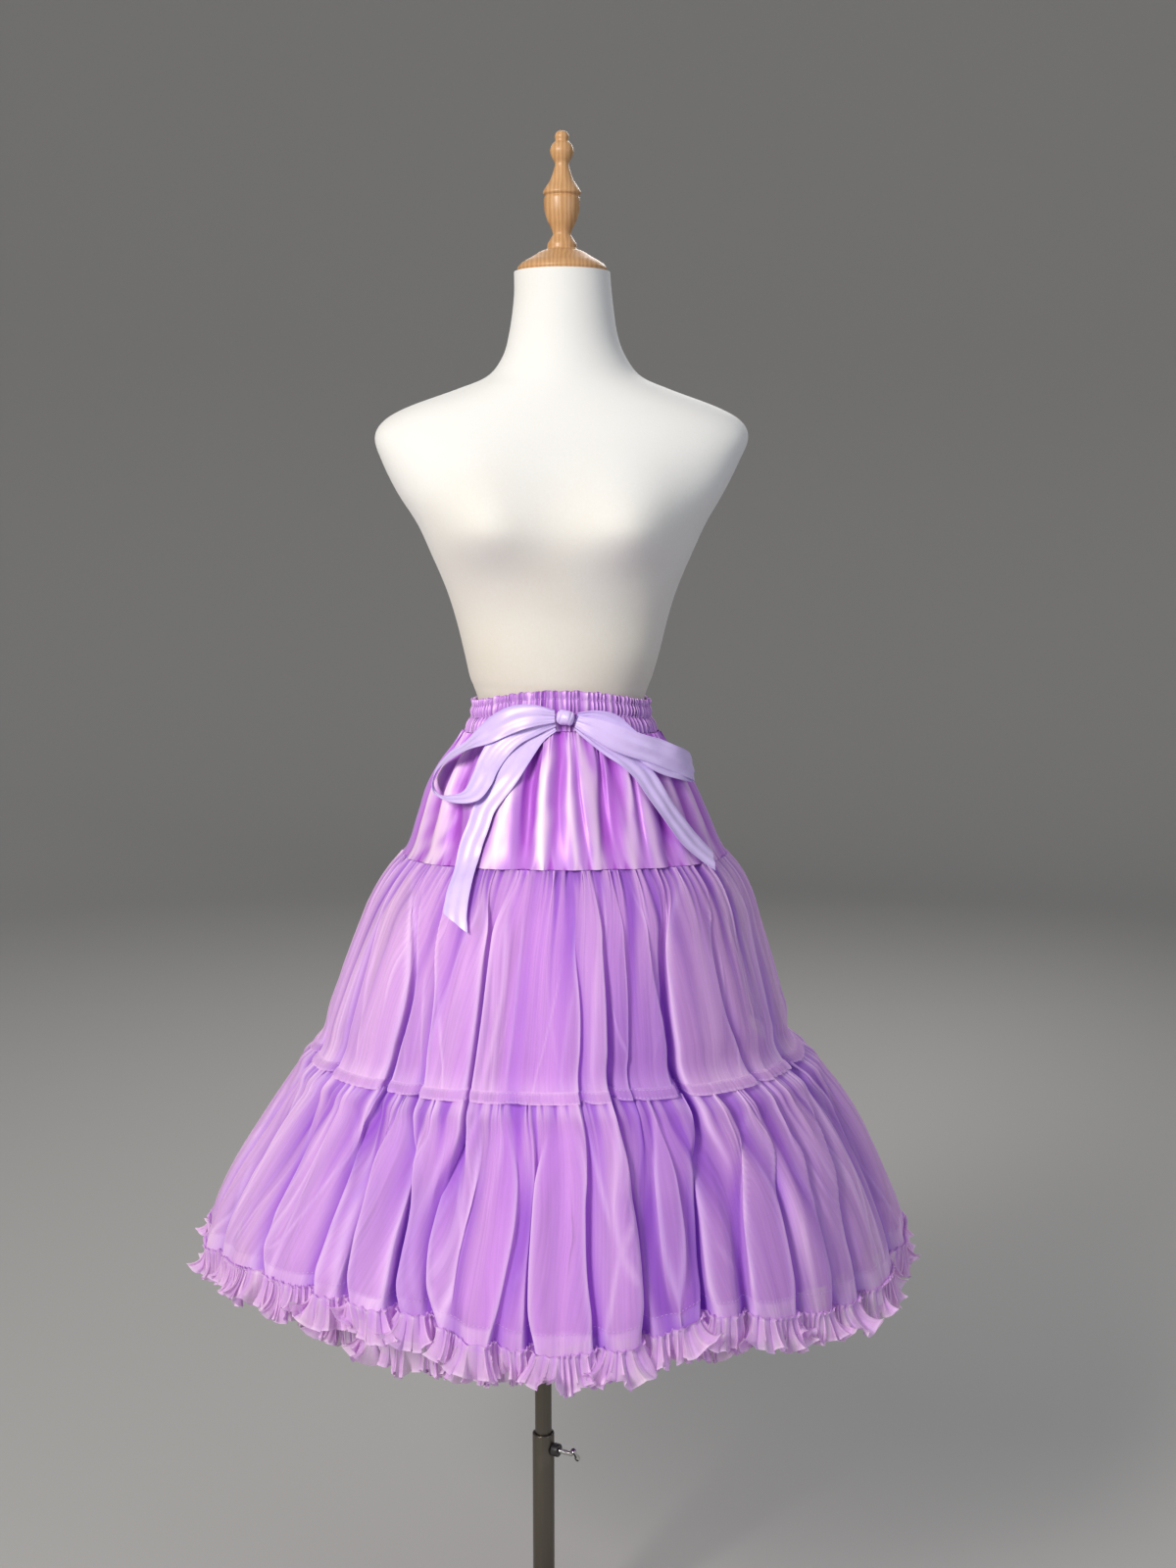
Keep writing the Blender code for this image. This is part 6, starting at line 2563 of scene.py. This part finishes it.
@dataclass
class Stand:
    """The base, the two tubes, the flange and the clamp screw."""

    gap: float = 0.0004
    base_radius: float = 0.160
    base_thick: float = 0.008
    hub_radius: float = 0.026
    hub_height: float = 0.024
    tube_radius: float = 0.0125
    tube_bore: float = 0.0101
    tube_top: float = 0.290
    pole_radius: float = 0.0095
    pole_foot: float = 0.130
    pole_top: float = 0.918
    socket_radius: float = 0.011
    flange_radius: float = 0.042
    flange_thick: float = 0.006
    form_foot: float = 0.848
    clamp_height: float = 0.272
    clamp_turn: float = -28.0
    boss_radius: float = 0.0075
    boss_long: float = 0.008
    stud_long: float = 0.017
    thread_pitch: float = 0.0010
    thread_turns: int = 15
    # One turn of the thread: radius, and how far it lies below the turn's start.
    tooth: Table = ((0.0028, 0.00015), (0.0028, 0.0003), (0.0024, 0.0006), (0.0024, 0.0008))
    wing_half: float = 0.0105
    wing_radius: float = 0.0032
    wing_tilt: float = 36.0
    # Half of the wing's outline: shares of its radius and of its half length.
    wing_outline: Table = (
        (0.0, 1.0), (0.40, 1.0), (0.85, 0.96), (1.0, 0.84),
        (1.0, 0.60), (0.86, 0.42), (0.72, 0.28), (0.70, 0.12),
    )

    @staticmethod
    def rounded(corners: list[tuple[float, float, float]], steps: int = 5) -> Array:
        """A profile with rounded corners.

        Args:
            corners: radius, height and rounding of each corner, in order.
            steps: how many steps a corner takes.

        Returns:
            Rows of radius and height.
        """
        points = []
        for i, (r, z, bevel) in enumerate(corners):
            here = np.array([r, z])
            if bevel <= 0 or i in (0, len(corners) - 1):
                points.append(here)
                continue
            before, after = (here + unit(corners[i + s][:2] - here) * bevel for s in (-1, 1))
            for t in np.linspace(0, 1, steps):
                points.append((1 - t) ** 2 * before + 2 * t * (1 - t) * here + t**2 * after)
        return np.array(points)

    def rod(
        self, radius: float, top: float, low: float, bevels: tuple[float, float], steps: int = 5
    ) -> Array:
        """The profile of a solid round bar or plate.

        Args:
            radius: its radius.
            top: its upper end.
            low: its lower end.
            bevels: the rounding of its upper and its lower edge.
            steps: how many steps a corner takes.

        Returns:
            Rows of radius and height.
        """
        corners = [(0, top, 0), (radius, top, bevels[0]), (radius, low, bevels[1]), (0, low, 0)]
        return self.rounded(corners, steps)

    def ring(self, outer: float, inner: float, top: float, low: float, bevel: float) -> Array:
        """The profile of a tube.

        Args:
            outer: its outer radius.
            inner: its bore's radius.
            top: its upper end.
            low: its lower end.
            bevel: its rounding, half as large in the bore.

        Returns:
            Rows of radius and height, back to the first.
        """
        middle = (inner, (top + low) / 2, 0)
        ends = [(inner, top, bevel / 2), (outer, top, bevel), (outer, low, bevel), (inner, low, bevel / 2)]
        return self.rounded([middle, *ends, middle])

    def build(self, room: Workroom) -> None:
        """Makes the turned pieces from the floor up.

        Args:
            room: the shared finishes.
        """
        foot = self.base_thick + self.gap
        under = self.form_foot - self.gap
        plate = self.rod(self.base_radius, self.base_thick, 0, (0.003, 0.0008), 7)
        hub = self.ring(self.hub_radius, self.tube_radius + self.gap, foot + self.hub_height, foot, 0.0025)
        tube = self.ring(self.tube_radius, self.tube_bore, self.tube_top, foot, 0.0012)
        pole = self.rod(self.pole_radius, self.pole_top, self.pole_foot, (0.001, 0.001))
        flange = self.ring(
            self.flange_radius, self.socket_radius, under, under - self.flange_thick, 0.0016
        )
        for name, profile, finish, sides, body, slot, node in (
            ("round_base", plate, room.black, 144, "stand", "base_metal", "base_plate"),
            ("base_socket", hub, room.black, 72, "stand", "base_metal", "base_hub"),
            ("outer_tube", tube, room.steel, 72, "stand", "pole_metal", "lower_tube"),
            ("inner_pole", pole, room.steel, 64, "pole", "pole_metal", "upper_tube"),
            ("form_flange", flange, room.black, 96, "form", "base_metal", "socket_flange"),
        ):
            settle(room.turn(name, profile, finish, sides), body, slot, node)
        self.clamp(room)

    def thread(self, top: float, foot: float) -> Array:
        """The stud's profile, a blunt end over its thread.

        Args:
            top: its outer end.
            foot: its inner end.

        Returns:
            Rows of radius and height.
        """
        points = [(0.0, top), (0.0022, top)]
        for i in range(self.thread_turns):
            start = top - 0.0006 - i * self.thread_pitch
            points += [(radius, start - drop) for radius, drop in self.tooth]
        return np.array([*points, (0.0026, foot + 0.0004), (0.0024, foot), (0.0, foot)])

    def wing(self) -> Array:
        """The wing's profile, waisted in the middle.

        Returns:
            Rows of radius and height.
        """
        half = [(r * self.wing_radius, z * self.wing_half) for r, z in self.wing_outline]
        outline = half + [(r, -z) for r, z in reversed(half)]
        profile = stations(outline, len(outline) * 5)
        profile[:, 0] = np.maximum(profile[:, 0], 0.0)
        profile[[0, -1], 0] = 0.0
        return profile

    def clamp(self, room: Workroom) -> None:
        """The boss on the tube and the wing screw in it.

        Args:
            room: the shared finishes.
        """
        boss_foot = self.tube_radius + self.gap
        boss_top = boss_foot + self.boss_long
        stud_foot = boss_top + self.gap
        stud_end = stud_foot + self.stud_long
        boss = self.rod(self.boss_radius, boss_top, boss_foot, (0.0012, 0.0006))
        turned = Matrix.Rotation(math.radians(self.clamp_turn), 4, "Z")
        axis = Matrix.Translation((0, 0, self.clamp_height)) @ turned
        lying = axis @ Matrix.Rotation(math.radians(90), 4, "Y")
        out = Matrix.Translation((stud_end + self.gap + self.wing_radius, 0, 0))
        tilted = axis @ out @ Matrix.Rotation(math.radians(self.wing_tilt), 4, "X")
        stud = self.thread(stud_end, stud_foot)
        wing, screw = self.wing(), "clamp_screw"
        for name, profile, finish, sides, sharp, where, *place in (
            ("clamp_collar", boss, room.black, 48, 32.0, lying, "stand", "base_metal", "clamp_boss"),
            ("clamp_thread", stud, room.bright, 32, 32.0, lying, screw, "base_metal", "clamp_stud"),
            ("clamp_handle", wing, room.bright, 40, 60.0, tilted, screw, "bright_metal", "clamp_wing"),
        ):
            made = room.turn(name, profile, finish, sides, sharp=sharp)
            made.data.transform(where)
            settle(made, *place)


# ------------------------------------------------------------------ studio
@dataclass(frozen=True)
class SoftLight:
    """A soft box that the camera doesn't see."""

    name: str
    place: tuple[float, float, float]
    aim: tuple[float, float, float]
    size: tuple[float, float]
    power: float
    colour: Colour

    def put(self) -> None:
        """Puts the light in the scene."""
        data = bpy.data.lights.new(self.name, "AREA")
        data.shape = "RECTANGLE"
        data.size, data.size_y = self.size
        data.energy = self.power
        data.color = self.colour
        made = link(self.name, data)
        made.location = self.place
        look = Vector(self.aim) - Vector(self.place)
        made.rotation_euler = look.to_track_quat("-Z", "Y").to_euler()
        made.visible_camera = False


@dataclass
class Studio:
    """The camera, the lights and the pale round sweep that the stand is on."""

    eye: tuple[float, float, float] = (0.0513, -2.07, 1.34)
    look_down: float = 8.171233559949753
    lens: float = 43.875
    sides: int = 96
    floor_radius: float = 4.6
    bend: float = 2.0
    bend_steps: int = 13
    wall_top: float = 5.4
    floor_colour: Colour = (0.40, 0.395, 0.385)
    sky: Colour = (0.95, 0.965, 1.0)
    sky_strength: float = 0.44
    lights: tuple[SoftLight, ...] = (
        SoftLight("key", (-1.9, -2.8, 2.5), (0.0, 0.0, 0.95), (1.0, 1.2), 136.0, (1.0, 0.967, 0.918)),
        SoftLight("fill", (2.8, -2.2, 1.5), (0.0, 0.0, 0.9), (1.8, 2.2), 27.0, (0.77, 0.845, 1.0)),
        SoftLight("back", (0.6, 2.8, 2.8), (0.0, 0.0, 0.9), (2.2, 1.2), 40.0, (1.0, 0.98, 0.96)),
    )

    def camera(self) -> None:
        """Puts the camera where the object is seen from."""
        data = bpy.data.cameras.new("view")
        data.sensor_width = 36.0
        data.lens = self.lens
        data.clip_end = 50.0
        made = link("view", data)
        made.location = self.eye
        made.rotation_euler = (math.pi / 2 - math.radians(self.look_down), 0.0, 0.0)
        bpy.context.scene.camera = made

    def sweep(self) -> None:
        """Makes the floor, which rises in a round wall well behind every viewpoint."""
        profile = [(r, 0.0) for r in (0.02, 1.0, 2.5, self.floor_radius)]
        for t in np.linspace(0, math.pi / 2, self.bend_steps + 1)[1:]:
            rise = self.bend * (1 - math.cos(t))
            profile.append((self.floor_radius + self.bend * math.sin(t), rise))
        profile.append((self.floor_radius + self.bend, self.wall_top))
        radius, height = np.array(profile).T[:, :, None]
        turn = np.linspace(0, TURN, self.sides, endpoint=False)
        rows = np.stack([radius * np.cos(turn), radius * np.sin(turn), height + 0 * turn], -1)
        finish = StudioFloor("pale_sweep", self.floor_colour).make()
        made = grid_piece("studio_sweep", rows, finish, closed=True)
        with reshaping(made) as mesh:
            mesh.faces.new([mesh.verts[i] for i in range(self.sides)])
        if made.data.polygons[0].normal.z < 0:
            made.data.flip_normals()

    def light(self) -> None:
        """Lights the object, from three sides and softly from all round."""
        world = bpy.data.worlds.new("air")
        world.use_nodes = True
        shade = world.node_tree.nodes["Background"]
        shade.inputs["Color"].default_value = (*self.sky, 1.0)
        shade.inputs["Strength"].default_value = self.sky_strength
        bpy.context.scene.world = world
        bpy.context.scene.view_settings.view_transform = "Standard"
        for lamp in self.lights:
            lamp.put()


def main() -> None:
    """Builds the studio, then the object from its stand up."""
    logging.basicConfig(level=logging.INFO, format="%(name)s %(message)s")
    studio = Studio()
    studio.camera()
    studio.sweep()
    studio.light()
    room = Workroom()
    Stand().build(room)
    DressForm().build(room)
    Waistband().build(room)
    Yoke().build(room)
    UpperTier().build(room)
    SeamTape().build(room)
    tier = LowerTier()
    tier.build(room)
    ruffle_hem(room, tier)
    UnderLayer().build(room)
    Bow().build(room)


if __name__ == "__main__":
    main()
